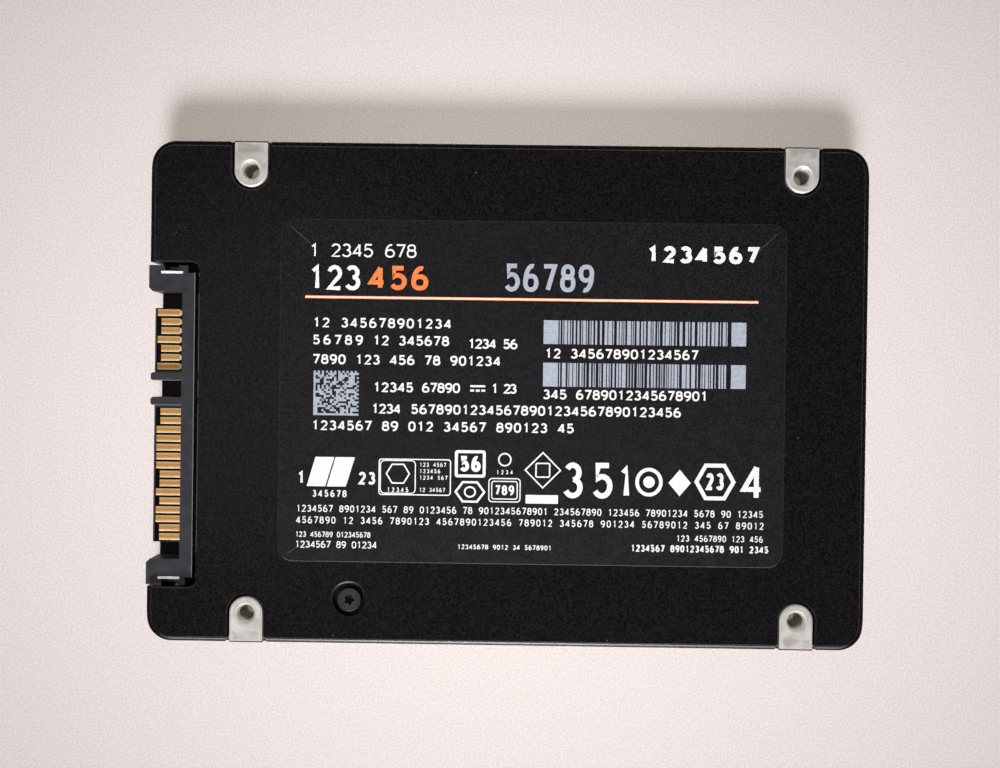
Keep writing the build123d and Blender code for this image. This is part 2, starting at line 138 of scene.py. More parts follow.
def quad_grid(rows: int, columns: int, rows_close: bool, columns_close: bool) -> np.ndarray:
    """Numbers the quads of a grid of points.

    Quad (i, j) joins the points (i, j), (i, j+1), (i+1, j+1) and (i+1, j), and a direction that
    closes goes on from its last point to its first.

    Args:
        rows: Points along the first direction.
        columns: Points along the second direction.
        rows_close: Whether the first direction closes.
        columns_close: Whether the second direction closes.

    Returns:
        One row of four point numbers for each quad.
    """
    i = np.arange(rows if rows_close else rows - 1)[:, None]
    j = np.arange(columns if columns_close else columns - 1)[None, :]
    below = (i + 1) % rows
    beside = (j + 1) % columns
    corners = (i * columns + j, i * columns + beside, below * columns + beside, below * columns + j)
    return np.stack(corners, axis=-1).reshape(-1, 4)


@dataclass
class Surface:
    """Points in millimetres, the quads that join them, and any flat caps of more than four sides."""

    points: np.ndarray
    quads: np.ndarray
    caps: list[np.ndarray] = field(default_factory=list)

    @classmethod
    def joined(cls, parts: Iterable[Surface]) -> Surface:
        """Puts several surfaces into one, each with its numbers moved past those before it.

        Args:
            parts: The surfaces.

        Returns:
            Their union.
        """
        parts = list(parts)
        starts = np.cumsum([0] + [len(part.points) for part in parts])
        return cls(
            np.concatenate([part.points for part in parts]),
            np.concatenate([part.quads + start for part, start in zip(parts, starts)]),
            [cap + start for part, start in zip(parts, starts) for cap in part.caps],
        )

    def faces_out(self) -> Surface:
        """Turns the faces outwards.

        The volume inside is a sixth of the sum, over the triangles of all faces, of the first
        corner dotted with the cross product of the other two. Where it is negative, every face
        is reversed.

        Returns:
            The same surface.
        """
        fans = [self.quads[:, [0, 1, 2]], self.quads[:, [0, 2, 3]]]
        for cap in self.caps:
            fans.append(np.stack([np.full(len(cap) - 2, cap[0]), cap[1:-1], cap[2:]], axis=-1))
        a, b, c = (self.points[corner] for corner in np.concatenate(fans).T)
        if np.einsum("ij,ij->", a, np.cross(b, c)) < 0:
            self.quads = self.quads[:, ::-1]
            self.caps = [cap[::-1] for cap in self.caps]
        return self

    def mesh(self, name: str, smooth_below: float = 30.0) -> bpy.types.Mesh:
        """Makes the mesh, in metres.

        Args:
            name: The mesh's name.
            smooth_below: Degrees; an edge that turns by more is drawn sharp.

        Returns:
            The mesh.
        """
        mesh = bpy.data.meshes.new(name)
        mesh.from_pydata(self.points * MM, [], self.quads.tolist() + [cap.tolist() for cap in self.caps])
        mesh.shade_smooth()
        mesh.set_sharp_from_angle(angle=math.radians(smooth_below))
        mesh.validate()
        return mesh


def slabs(middles: np.ndarray, sizes: np.ndarray, levels: Span) -> Surface:
    """Upright boxes: corner (s, t) is the box's middle plus (s, t), each -1 or 1, times half its size.

    Args:
        middles: One row of x and y for each box.
        sizes: One row of length and width for each box.
        levels: The heights of their undersides and tops.

    Returns:
        The boxes as one surface.
    """
    signs = np.array([(-1, -1), (1, -1), (1, 1), (-1, 1)]) / 2
    plan = middles[:, None, :] + signs * sizes[:, None, :]
    heights = np.broadcast_to([[levels.low], [levels.high]], (len(plan), 2, 4))
    twice = np.broadcast_to(plan[:, None], (len(plan), 2, 4, 2))
    points = np.concatenate([twice, heights[..., None]], axis=-1).reshape(-1, 3)
    one_box = np.concatenate([[(0, 3, 2, 1), (4, 5, 6, 7)], quad_grid(2, 4, False, True)])
    quads = one_box[None] + 8 * np.arange(len(plan))[:, None, None]
    return Surface(points, quads.reshape(-1, 4)).faces_out()


def plate(outline: np.ndarray, levels: Span) -> Surface:
    """A flat plate: the outline at two heights, joined by walls and closed by two caps.

    Args:
        outline: Plan points in order round the plate.
        levels: The heights of its underside and top.

    Returns:
        The plate.
    """
    count = len(outline)
    rings = [np.column_stack([outline, np.full(count, z)]) for z in (levels.low, levels.high)]
    caps = [np.arange(count)[::-1], np.arange(count, 2 * count)]
    return Surface(np.concatenate(rings), quad_grid(2, count, False, True), caps).faces_out()


def strip(path: np.ndarray, width: float, levels: Span, closed: bool = False) -> Surface:
    """A flat strip of even width along a path.

    Each edge is the path moved by half the width along its mitre: the mean of the unit normals
    of the two runs that meet, divided by the squared length of that mean, so that the strip is
    as wide in a corner as beside it. A least squared length keeps the mitre of a hairpin short.

    Args:
        path: Plan points along the middle of the strip.
        width: Its width.
        levels: The heights of its underside and top.
        closed: Whether the path runs back to its start.

    Returns:
        The strip.
    """
    if closed:
        after = np.roll(path, -1, axis=0) - path
        before = np.roll(after, 1, axis=0)
    else:
        runs = np.diff(path, axis=0)
        after = np.concatenate([runs, runs[-1:]])
        before = np.concatenate([runs[:1], runs])
    normals = [np.column_stack([-run[:, 1], run[:, 0]]) for run in (before, after)]
    units = [normal / np.linalg.norm(normal, axis=1, keepdims=True) for normal in normals]
    mean = (units[0] + units[1]) / 2
    mitre = mean / np.maximum((mean**2).sum(axis=1, keepdims=True), LEAST_SQUARED_MEAN)
    ring = ((-1, levels.low), (1, levels.low), (1, levels.high), (-1, levels.high))
    corners = [np.column_stack([path + side * mitre * width / 2, np.full(len(path), z)]) for side, z in ring]
    points = np.stack(corners, axis=1).reshape(-1, 3)
    quads = quad_grid(len(path), 4, closed, True)
    if not closed:
        first = np.arange(4)[None]
        quads = np.concatenate([quads, first[:, ::-1], first + len(points) - 4])
    return Surface(points, quads).faces_out()


def oval(middle: Point, radii: Point, count: int, squareness: float = 2.0) -> np.ndarray:
    """Points round a superellipse: each coordinate is its radius times the cosine or sine, raised
    to 2 over the squareness with its sign kept.

    Args:
        middle: Its middle.
        radii: Half its width and half its height.
        count: How many points.
        squareness: 2 for an ellipse, more for a squarer shape.

    Returns:
        The points in order.
    """
    turns = 2 * math.pi * (np.arange(count) + 0.5) / count
    wave = np.column_stack([np.cos(turns), np.sin(turns)])
    return np.array(middle) + np.array(radii) * np.sign(wave) * np.abs(wave) ** (2 / squareness)


def bow(middle: Point, radii: Point, turn: Span, count: int) -> np.ndarray:
    """Points on an ellipse between two angles in degrees, from the span's low to its high."""
    turns = np.radians(np.linspace(turn.low, turn.high, count))
    return np.array(middle) + np.array(radii) * np.column_stack([np.cos(turns), np.sin(turns)])


def rounded_box(middle: Point, size: Point, radius: float, count: int = 5) -> np.ndarray:
    """Plan points of a box with round corners, each a quarter circle.

    Args:
        middle: Its middle.
        size: Its width and height.
        radius: The radius of its corners.
        count: Points in each corner.

    Returns:
        The points in order.
    """
    half = np.array(size) / 2 - radius
    corners = (((1, 1), 0), ((-1, 1), 90), ((-1, -1), 180), ((1, -1), 270))
    quarters = [
        bow(np.array(middle) + half * sign, (radius, radius), Span(start, start + 90), count)
        for sign, start in corners
    ]
    return np.concatenate(quarters)


class Lie(Enum):
    """Which way the mouth of a bore faces."""

    UP = "up"
    LEFT = "left"
    RIGHT = "right"


@dataclass(frozen=True)
class ThreadCut:
    """A metric thread in a bore of tap drill size."""

    bore: float = 1.25
    pitch: float = 0.5
    height: float = 0.2
    backing: float = 0.004
    steepness: float = 2.5
    points_round: int = 48
    points_per_pitch: int = 8

    def lining(self, mouth: Sequence[float], depth: float, lie: Lie) -> Surface:
        """The ridges that line a bore, as one closed ring-like surface.

        At a turn t and a depth d the inner wall stands at the bore's radius less the ridge height
        times a wave of d / pitch - t, faded out over the first and last half pitch. The wave
        rises and falls with the steepness, and its crest is cut flat. The outer wall is a plain
        cylinder just outside the bore.

        Args:
            mouth: The point in the middle of the bore's mouth.
            depth: How far the thread runs in.
            lie: Which way the mouth faces.

        Returns:
            The lining.
        """
        turns = np.arange(self.points_round) / self.points_round
        down = np.linspace(0.0, depth, int(depth / self.pitch * self.points_per_pitch))
        phase = (down[:, None] / self.pitch - turns[None, :]) % 1.0
        ridge = np.clip(self.steepness * (0.5 - np.abs(phase - 0.5)), 0.0, 1.0)
        fade = np.clip(np.minimum(down, depth - down) / (self.pitch / 2), 0.0, 1.0)[:, None]
        inner = self.bore - self.height * ridge * fade
        radii = np.concatenate([inner, np.full((2, len(turns)), self.bore + self.backing)])
        depths = np.concatenate([down, [depth, 0.0]])[:, None] + np.zeros_like(radii)
        across = radii * np.cos(2 * math.pi * turns)
        along = radii * np.sin(2 * math.pi * turns)
        placed = {
            Lie.UP: (across, along, -depths),
            Lie.LEFT: (across, -depths, along),
            Lie.RIGHT: (across, depths, along),
        }[lie]
        points = np.stack(placed, axis=-1).reshape(-1, 3) + np.array(mouth)
        return Surface(points, quad_grid(*radii.shape, True, True)).faces_out()


# ---- Shader node groups and the sheet that materials are drawn on --------------------------


class Nodes:
    """A node tree under construction."""

    def __init__(self, tree: bpy.types.NodeTree) -> None:
        """Starts on an empty tree."""
        self.tree = tree
        tree.nodes.clear()

    def add(
        self, kind: str, inputs: dict[str | int, object] | None = None, **settings: object
    ) -> bpy.types.Node:
        """Adds a node.

        Args:
            kind: The node's Blender type.
            inputs: For each input, a socket to join to it or a plain value.
            settings: The node's own options.

        Returns:
            The node.
        """
        node = self.tree.nodes.new(kind)
        for name, value in settings.items():
            setattr(node, name, value)
        for name, value in (inputs or {}).items():
            if isinstance(value, Socket):
                self.tree.links.new(value, node.inputs[name])
            else:
                node.inputs[name].default_value = value
        return node

    def math(self, operation: str, first: object, second: object = 0.0) -> Socket:
        """Adds a sum on two values and gives its result."""
        return self.add("ShaderNodeMath", {0: first, 1: second}, operation=operation).outputs[0]

    def times(self, first: object, second: object) -> Socket:
        """Multiplies two values."""
        return self.math("MULTIPLY", first, second)

    def vector(self, operation: str, first: object, second: object = (0.0, 0.0, 0.0)) -> Socket:
        """Adds a sum on one point or two and gives the point that it makes."""
        return self.add("ShaderNodeVectorMath", {0: first, 1: second}, operation=operation).outputs[0]

    def axis(self, vector: Socket, name: str) -> Socket:
        """Gives one coordinate of a point."""
        return self.add("ShaderNodeSeparateXYZ", {"Vector": vector}).outputs[name]

    def remap(self, value: Socket, source: Span, target: Span = WHOLE) -> Socket:
        """Carries a value from one span to another, held at its ends.

        Args:
            value: The value.
            source: The span that it is in.
            target: The span that it is carried to.

        Returns:
            The new value.
        """
        inputs = {"Value": value, "From Min": source.low, "From Max": source.high}
        inputs |= {"To Min": target.low, "To Max": target.high}
        return self.add("ShaderNodeMapRange", inputs).outputs["Result"]

    def noise(self, vector: Socket, scale: Socket, detail: float) -> Socket:
        """Adds a noise texture and gives its value."""
        inputs = {"Vector": vector, "Scale": scale, "Detail": detail}
        return self.add("ShaderNodeTexNoise", inputs).outputs["Fac"]

    def stretched(self, vector: Socket, scale: Sequence[float], turn: float = 0.0) -> Socket:
        """Scales a position along each axis, then turns it about the upright axis."""
        inputs = {"Vector": vector, "Scale": scale, "Rotation": (0.0, 0.0, turn)}
        return self.add("ShaderNodeMapping", inputs).outputs["Vector"]

    def mix(self, mask: Socket, first: Socket | Colour, second: Colour) -> Socket:
        """Lays a colour over another one.

        Args:
            mask: Where the second colour shows.
            first: The colour below, which may itself vary.
            second: The colour on top.

        Returns:
            The mixed colour.
        """
        below = first if isinstance(first, Socket) else (*first, 1.0)
        inputs = {0: mask, 6: below, 7: (*second, 1.0)}
        return self.add("ShaderNodeMix", inputs, data_type="RGBA").outputs[2]


class Group(Enum):
    """The surface effects that several finishes share."""

    GRAIN = "surface_grain"
    SPECKS = "dust_specks"
    STREAKS = "fine_streaks"
    BOX = "inside_box"
    OUTLINE = "inside_outline"


class GroupSheet(Nodes):
    """A node group under construction. Besides the given inputs it has a point called Vector."""

    def __init__(
        self, group: Group, numbers: Sequence[str], results: Sequence[str], points: Sequence[str] = ()
    ) -> None:
        """Starts a group.

        Args:
            group: Which effect it is.
            numbers: The names of its number inputs.
            results: The names of its number outputs.
            points: The names of its other point inputs.
        """
        tree = bpy.data.node_groups.new(group.value, "ShaderNodeTree")
        for name in ("Vector", *points):
            tree.interface.new_socket(name, in_out="INPUT", socket_type="NodeSocketVector")
        for name in numbers:
            tree.interface.new_socket(name, in_out="INPUT", socket_type="NodeSocketFloat")
        for name in results:
            tree.interface.new_socket(name, in_out="OUTPUT", socket_type="NodeSocketFloat")
        super().__init__(tree)
        self.given = self.add("NodeGroupInput").outputs
        self.place = self.given["Vector"]

    def give(self, **results: Socket) -> None:
        """Joins the group's results to its outputs."""
        self.add("NodeGroupOutput", results)


GRAIN_DETAIL = 3.0
TONE_SHARE = 0.12
TONE_DETAIL = 4.0
SPECK_EDGE = Span(0.6, 1.0)
STREAK_STRETCH = (0.05, 1.0, 1.0)
STREAK_TURN = 0.5
STREAK_DETAIL = 2.0
STREAK_EDGE = Span(0.3, 1.0)
PATCH_SHARE = 0.2
PATCH_DETAIL = 1.0


def build_grain() -> None:
    """Builds the grain group: Height is fine noise, and Tone is a noise about an eighth as fine."""
    sheet = GroupSheet(Group.GRAIN, ["Scale"], ["Height", "Tone"])
    scale = sheet.given["Scale"]
    fine = sheet.noise(sheet.place, scale, GRAIN_DETAIL)
    slow = sheet.noise(sheet.place, sheet.times(scale, TONE_SHARE), TONE_DETAIL)
    sheet.give(Height=fine, Tone=slow)


def build_specks() -> None:
    """Builds the specks group.

    Space is cut into cells with a point and random numbers each. Mask is 1 near the point where
    the first number is under Cover, and falls to 0 at the second number's share of Size.
    """
    sheet = GroupSheet(Group.SPECKS, ["Scale", "Cover", "Size"], ["Mask"])
    cells = sheet.add("ShaderNodeTexVoronoi", {"Vector": sheet.place, "Scale": sheet.given["Scale"]})
    chance, share, _ = sheet.add("ShaderNodeSeparateColor", {"Color": cells.outputs["Color"]}).outputs
    chosen = sheet.math("LESS_THAN", chance, sheet.given["Cover"])
    off = sheet.math("DIVIDE", cells.outputs["Distance"], sheet.times(sheet.given["Size"], share))
    sheet.give(Mask=sheet.times(chosen, sheet.remap(off, SPECK_EDGE, FALLING)))


def build_streaks() -> None:
    """Builds the streaks group.

    A noise drawn out twenty times along X is near its middle value on thin lines only, and a
    slow noise keeps them in patches: Mask is 1 on the lines in the patches.
    """
    sheet = GroupSheet(Group.STREAKS, ["Scale", "Width", "Cover"], ["Mask"])
    scale = sheet.given["Scale"]
    drawn = sheet.stretched(sheet.place, STREAK_STRETCH, STREAK_TURN)
    lines = sheet.noise(drawn, scale, STREAK_DETAIL)
    off_middle = sheet.math("ABSOLUTE", sheet.math("SUBTRACT", lines, WHOLE.middle))
    near = sheet.math("DIVIDE", off_middle, sheet.given["Width"])
    sharp = sheet.remap(near, STREAK_EDGE, FALLING)
    patches = sheet.noise(sheet.place, sheet.times(scale, PATCH_SHARE), PATCH_DETAIL)
    kept = sheet.math("LESS_THAN", patches, sheet.given["Cover"])
    sheet.give(Mask=sheet.times(sharp, kept))


def build_box() -> None:
    """Builds the box group.

    The distance to each of the six sides of the box between Low and High is counted inwards and
    divided by Softness. Mask is the least of them, held between 0 and 1.
    """
    sheet = GroupSheet(Group.BOX, ["Softness"], ["Mask"], ["Low", "High"])
    past_low = sheet.vector("SUBTRACT", sheet.place, sheet.given["Low"])
    before_high = sheet.vector("SUBTRACT", sheet.given["High"], sheet.place)
    least = sheet.vector("MINIMUM", past_low, before_high)
    x, y, z = (sheet.axis(least, name) for name in "XYZ")
    nearest = sheet.math("MINIMUM", x, sheet.math("MINIMUM", y, z))
    sheet.give(Mask=sheet.remap(sheet.math("DIVIDE", nearest, sheet.given["Softness"]), WHOLE))


def build_outline() -> None:
    """Builds the outline group.

    CornerMiddles is the middle of the round corner where X and Y are positive. Inset is the
    radius, less the length of what the point's distances from both axes have past that middle,
    so near the edge it is how far the point lies inside the outline, seen in plan.
    """
    sheet = GroupSheet(Group.OUTLINE, ["Radius"], ["Inset"], ["CornerMiddles"])
    past = sheet.vector("SUBTRACT", sheet.vector("ABSOLUTE", sheet.place), sheet.given["CornerMiddles"])
    outwards = sheet.vector("MAXIMUM", past)
    reach = sheet.add("ShaderNodeVectorMath", {0: outwards}, operation="LENGTH").outputs["Value"]
    sheet.give(Inset=sheet.math("SUBTRACT", sheet.given["Radius"], reach))


@dataclass(frozen=True)
class Specks:
    """Specks of one kind: cells in a metre, the share that has one, its size, cover and colour."""

    scale: float
    share: float
    size: float
    opacity: float
    colour: Colour


class MaterialSheet(Nodes):
    """A material under construction, with its Principled shader."""

    def __init__(self, name: str, plain: dict[str, float]) -> None:
        """Starts a material.

        Args:
            name: The material's name.
            plain: The shader's inputs that are the same all over the surface.
        """
        self.material = bpy.data.materials.new(name)
        self.material.use_nodes = True
        super().__init__(self.material.node_tree)
        self.shader = self.add("ShaderNodeBsdfPrincipled", plain)
        self.add("ShaderNodeOutputMaterial", {"Surface": self.shader.outputs[0]})
        self.place = self.add("ShaderNodeTexCoord").outputs["Object"]
        self.normal: Socket | None = None

    def effect(self, group: Group, vector: Socket | None = None, **values: object) -> bpy.types.Node:
        """Places a shared effect.

        Args:
            group: Which effect.
            vector: The position it reads, or None for the piece's own.
            values: Its numbers and points.

        Returns:
            The group's node.
        """
        inputs = {"Vector": vector or self.place, **values}
        return self.add("ShaderNodeGroup", inputs, node_tree=bpy.data.node_groups[group.value])

    def grain(self, scale: float, vector: Socket | None = None) -> tuple[Socket, Socket]:
        """Gives the height of a fine grain and its slower tone."""
        node = self.effect(Group.GRAIN, vector, Scale=scale)
        return node.outputs["Height"], node.outputs["Tone"]

    def specked(self, base: Socket, specks: Specks, where: Socket | float = 1.0) -> Socket:
        """Lays specks over a colour.

        Args:
            base: The colour.
            specks: The specks.
            where: A mask of the places that have them.

        Returns:
            The colour with its specks.
        """
        values = {"Scale": specks.scale, "Cover": specks.share, "Size": specks.size}
        mask = self.times(self.effect(Group.SPECKS, **values).outputs["Mask"], specks.opacity)
        return self.mix(self.times(where, mask), base, specks.colour)

    def within(self, room: Room, softness: float = 0.03) -> Socket:
        """Gives a mask that is 1 inside a box and fades to 0 at its sides.

        Args:
            room: The box, in millimetres.
            softness: How deep inside the box the mask is full.

        Returns:
            The mask.
        """
        sides = [side.metres for side in (room.x, room.y, room.z)]
        corners = {"Low": [side.low for side in sides], "High": [side.high for side in sides]}
        return self.effect(Group.BOX, Softness=softness * MM, **corners).outputs["Mask"]

    def inset(self, corner: Point, radius: float, vector: Socket | None = None) -> Socket:
        """Gives how far inside an outline the surface lies, seen in plan, in metres.

        Args:
            corner: The middle of the outline's round corner where X and Y are positive.
            radius: The radius of its corners.
            vector: The position it reads, or None for the piece's own.

        Returns:
            The distance.
        """
        middles = (corner[0] * MM, corner[1] * MM, 1.0)
        node = self.effect(Group.OUTLINE, vector, CornerMiddles=middles, Radius=radius * MM)
        return node.outputs["Inset"]

    def relief(self, height: Socket, depth: float) -> None:
        """Raises the surface, on top of any relief before.

        Args:
            height: How far it is raised, as a share of the depth.
            depth: The full depth in millimetres.
        """
        inputs = {"Height": height, "Distance": depth * MM}
        if self.normal:
            inputs["Normal"] = self.normal
        self.normal = self.add("ShaderNodeBump", inputs).outputs["Normal"]

    def finish(
        self, colour: Socket, roughness: Socket | None, height: Socket, depth: float
    ) -> bpy.types.Material:
        """Ends the material.

        Args:
            colour: The colour of the surface.
            roughness: Its roughness, or None where that is the same all over.
            height: The grain, which is raised on top of any other relief.
            depth: The grain's full depth in millimetres.

        Returns:
            The material.
        """
        self.relief(height, depth)
        feeds = {"Base Color": colour, "Roughness": roughness, "Normal": self.normal}
        for name, socket in feeds.items():
            if socket:
                self.tree.links.new(socket, self.shader.inputs[name])
        return self.material


# ---- Finishes -----------------------------------------------------------------------------


@dataclass(frozen=True)
class CoatedMetal:
    """A dark satin coat on metal, with a fine grain, specks of dust and faint handling marks.

    Where the piece has a rim, given by its inset from the outline of the case, the coat is
    crowned there: the rim falls off outwards, and a highlight is painted on it along the side where Y is
    least.
    Where it has a recess for a screw, the coat is duller as far as the recess reaches.
    """

    name: str
    colour: Colour = (0.0006, 0.0004, 0.0005)
    light_colour: Colour = (0.0100, 0.0078, 0.0086)
    # Painted highlight on the rim along the side where Y is least.
    rubbed_colour: Colour = (0.15, 0.145, 0.14)
    drilled_colour: Colour = (0.42, 0.39, 0.35)
    mottle: Span = Span(0.44, 0.58)
    grain_scale: float = 5000.0
    grain_depth: float = 0.003
    dust: Specks = Specks(420.0, 0.05, 0.07, 0.6, (0.16, 0.14, 0.13))
    scuffs: Specks = Specks(2800.0, 0.85, 0.34, 0.7, (0.16, 0.14, 0.13))
    scuff_fade: float = 0.5
    mark_scale: float = 700.0
    mark_width: float = 0.004
    mark_cover: float = 0.36
    mark_opacity: float = 0.06
    shine: float = 0.5
    roughness: Span = Span(0.18, 0.24)
    roughness_scale: float = 1400.0
    recess_roughness: float = 0.36
    recess_reach: float = 2.75
    recess_fade: float = 0.1
    rim: Span | None = None
    rim_fall: float = 0.105
    rubbed: Span = Span(0.45, 0.9)
    rub_strength: float = 4.0
    corner: float = 3.8

    def material(
        self,
        case: Room,
        recess: Point | None = None,
        scuffed: Sequence[Room] = (),
        drilled: Sequence[Room] = (),
    ) -> bpy.types.Material:
        """Makes the material.

        Args:
            case: The box of the case, whose plan is the outline.
            recess: The middle of the recess, or None.
            scuffed: Places with short pale scuffs.
            drilled: Places where a drill went through the coat.

        Returns:
            The material: grain in height and tone, then marks and dust, then the crowned rim with its painted
                highlight.
        """
        sheet = MaterialSheet(self.name, {"Specular IOR Level": self.shine})
        height, _ = sheet.grain(self.grain_scale)
        base = sheet.mix(sheet.remap(height, self.mottle), self.colour, self.light_colour)
        streaks = {"Scale": self.mark_scale, "Width": self.mark_width, "Cover": self.mark_cover}
        marks = sheet.effect(Group.STREAKS, **streaks).outputs["Mask"]
        base = sheet.mix(sheet.times(marks, self.mark_opacity), base, self.dust.colour)
        base = sheet.specked(base, self.dust)
        for room in scuffed:
            base = sheet.specked(base, self.scuffs, sheet.within(room, self.scuff_fade))
        for room in drilled:
            base = sheet.mix(sheet.within(room), base, self.drilled_colour)
        slow, _ = sheet.grain(self.roughness_scale)
        rough = sheet.remap(slow, TONE_RANGE, self.roughness)
        if recess:
            off = sheet.vector("SUBTRACT", sheet.place, (recess[0] * MM, recess[1] * MM, 0.0))
            inset = sheet.inset((0.0, 0.0), self.recess_reach, off)
            duller = sheet.remap(inset, Span(0.0, self.recess_fade).metres, Span(0.0, self.recess_roughness))
            rough = sheet.math("MAXIMUM", rough, duller)
        if self.rim:
            inset = sheet.inset((case.x.high - self.corner, case.y.high - self.corner), self.corner)
            crowned = sheet.remap(inset, self.rim.metres)
            sheet.relief(crowned, self.rim_fall)
            # Painted highlight: a paler colour on the crown of the rim, along the side where Y is least,
            # where the key light falls.
            highlight_hump = sheet.times(crowned, sheet.math("SUBTRACT", 1.0, crowned))
            reach = self.rubbed.moved(case.y.low).metres
            near = sheet.remap(sheet.axis(sheet.place, "Y"), reach, Span(self.rub_strength, 0.0))
            base = sheet.mix(sheet.times(highlight_hump, near), base, self.rubbed_colour)
        return sheet.finish(base, rough, height, self.grain_depth)


@dataclass(frozen=True)
class MilledBoss:
    """Bare milled metal, mottled, with a painted highlight along its bevels and the case's coat on its outer
    side.
    """

    name: str = "milled_boss"
    colour: Colour = (0.84, 0.81, 0.78)
    dull_colour: Colour = (0.62, 0.59, 0.56)
    edge_colour: Colour = (0.96, 0.94, 0.92)
    tooled_colour: Colour = (0.50, 0.47, 0.44)
    coat_colour: Colour = (0.0036, 0.0031, 0.0032)
    spots: Specks = Specks(1500.0, 0.14, 0.26, 0.5, (0.62, 0.59, 0.56))
    grain_scale: float = 3600.0
    grain_depth: float = 0.008
    streaks: tuple[float, float, float] = (1.0, 7.0, 1.0)
    streak_turn: float = 0.2
    mottle_scale: float = 620.0
    mottle: Span = Span(0.40, 0.68)
    edge_opacity: float = 0.8
    tooled_fade: float = 0.35
    tooled_mottle: Span = Span(0.38, 0.60)
    tooled_opacity: Span = Span(0.25, 0.9)
    metallic: float = 0.5
    roughness: Span = Span(0.38, 0.52)
    coat_roughness: float = 0.42

    def material(self, bare: Room, bevels: Room, tooled: Sequence[Room]) -> bpy.types.Material:
        """Makes the material.

        Args:
            bare: The space inside the coated outer sides.
            bevels: The layer where a highlight is painted on the bevels.
            tooled: The places where a tool has left a duller face.

        Returns:
            The material: streaked grain, then mottle, spots and the painted bevel highlight in colour, then
                the coat.
        """
        sheet = MaterialSheet(self.name, {})
        drawn = sheet.stretched(sheet.place, self.streaks, self.streak_turn)
        height, _ = sheet.grain(self.grain_scale, drawn)
        mottle, _ = sheet.grain(self.mottle_scale)
        base = sheet.mix(sheet.remap(mottle, self.mottle), self.colour, self.dull_colour)
        base = sheet.specked(base, self.spots)
        uneven = sheet.remap(mottle, self.tooled_mottle, self.tooled_opacity)
        for room in tooled:
            mask = sheet.times(sheet.within(room, self.tooled_fade), uneven)
            base = sheet.mix(mask, base, self.tooled_colour)
        # Painted highlight on the bevels.
        base = sheet.mix(sheet.times(sheet.within(bevels), self.edge_opacity), base, self.edge_colour)
        metal = sheet.within(bare)
        base = sheet.mix(sheet.math("SUBTRACT", 1.0, metal), base, self.coat_colour)
        sheet.tree.links.new(sheet.times(metal, self.metallic), sheet.shader.inputs["Metallic"])
        inputs = {0: metal, 2: self.coat_roughness, 3: sheet.remap(height, GRAIN_RANGE, self.roughness)}
        rough = sheet.add("ShaderNodeMix", inputs, data_type="FLOAT").outputs[0]
        return sheet.finish(base, rough, height, self.grain_depth)


@dataclass(frozen=True)
class ThreadMetal:
    """A cut thread: bright at its mouth, and darker further down with painted shade."""

    name: str = "thread_metal"
    colour: Colour = (0.80, 0.77, 0.73)
    oily_colour: Colour = (0.40, 0.37, 0.33)
    grain_scale: float = 2400.0
    grain_depth: float = 0.02
    metallic: float = 0.5
    roughness: Span = Span(0.22, 0.36)
    bright: Span = Span(-1.9, -0.3)
    ragged: Span = Span(-0.4, 0.4)

    def material(self, mouth: float) -> bpy.types.Material:
        """Makes the material.

        Args:
            mouth: The height of the mouths of the upright threads.

        Returns:
            The material: painted shade by depth, made ragged by noise, and tone in roughness.
        """
        sheet = MaterialSheet(self.name, {"Metallic": self.metallic})
        height, tone = sheet.grain(self.grain_scale)
        ragged = sheet.remap(height, GRAIN_RANGE, self.ragged.metres)
        level = sheet.math("ADD", sheet.axis(sheet.place, "Z"), ragged)
        # Painted shade: the colour darkens with depth below the mouth, where less light reaches.
        bright = sheet.remap(level, self.bright.moved(mouth).metres)
        base = sheet.mix(bright, self.oily_colour, self.colour)
        return sheet.finish(base, sheet.remap(tone, TONE_RANGE, self.roughness), height, self.grain_depth)


@dataclass(frozen=True)
class PlatedLid:
    """The plated lid of the crystal: faint streaks, a slow change of tone and a few dull spots."""

    name: str = "crystal_lid"
    colour: Colour = (0.78, 0.76, 0.70)
    dull_colour: Colour = (0.55, 0.53, 0.48)
    spots: Specks = Specks(1500.0, 0.10, 0.28, 0.6, (0.55, 0.53, 0.48))
    grain_scale: float = 5200.0
    grain_depth: float = 0.006
    streaks: tuple[float, float, float] = (1.0, 8.0, 1.0)
    mottle_scale: float = 3200.0
    mottle: Span = Span(0.42, 0.75)
    metallic: float = 0.55
    roughness: Span = Span(0.42, 0.56)

    def material(self) -> bpy.types.Material:
        """Makes the material.

        Returns:
            The material: streaked grain in height and roughness, tone and spots in colour.
        """
        sheet = MaterialSheet(self.name, {"Metallic": self.metallic})
        height, _ = sheet.grain(self.grain_scale, sheet.stretched(sheet.place, self.streaks))
        _, tone = sheet.grain(self.mottle_scale)
        base = sheet.mix(sheet.remap(tone, self.mottle), self.colour, self.dull_colour)
        rough = sheet.remap(height, GRAIN_RANGE, self.roughness)
        return sheet.finish(sheet.specked(base, self.spots), rough, height, self.grain_depth)


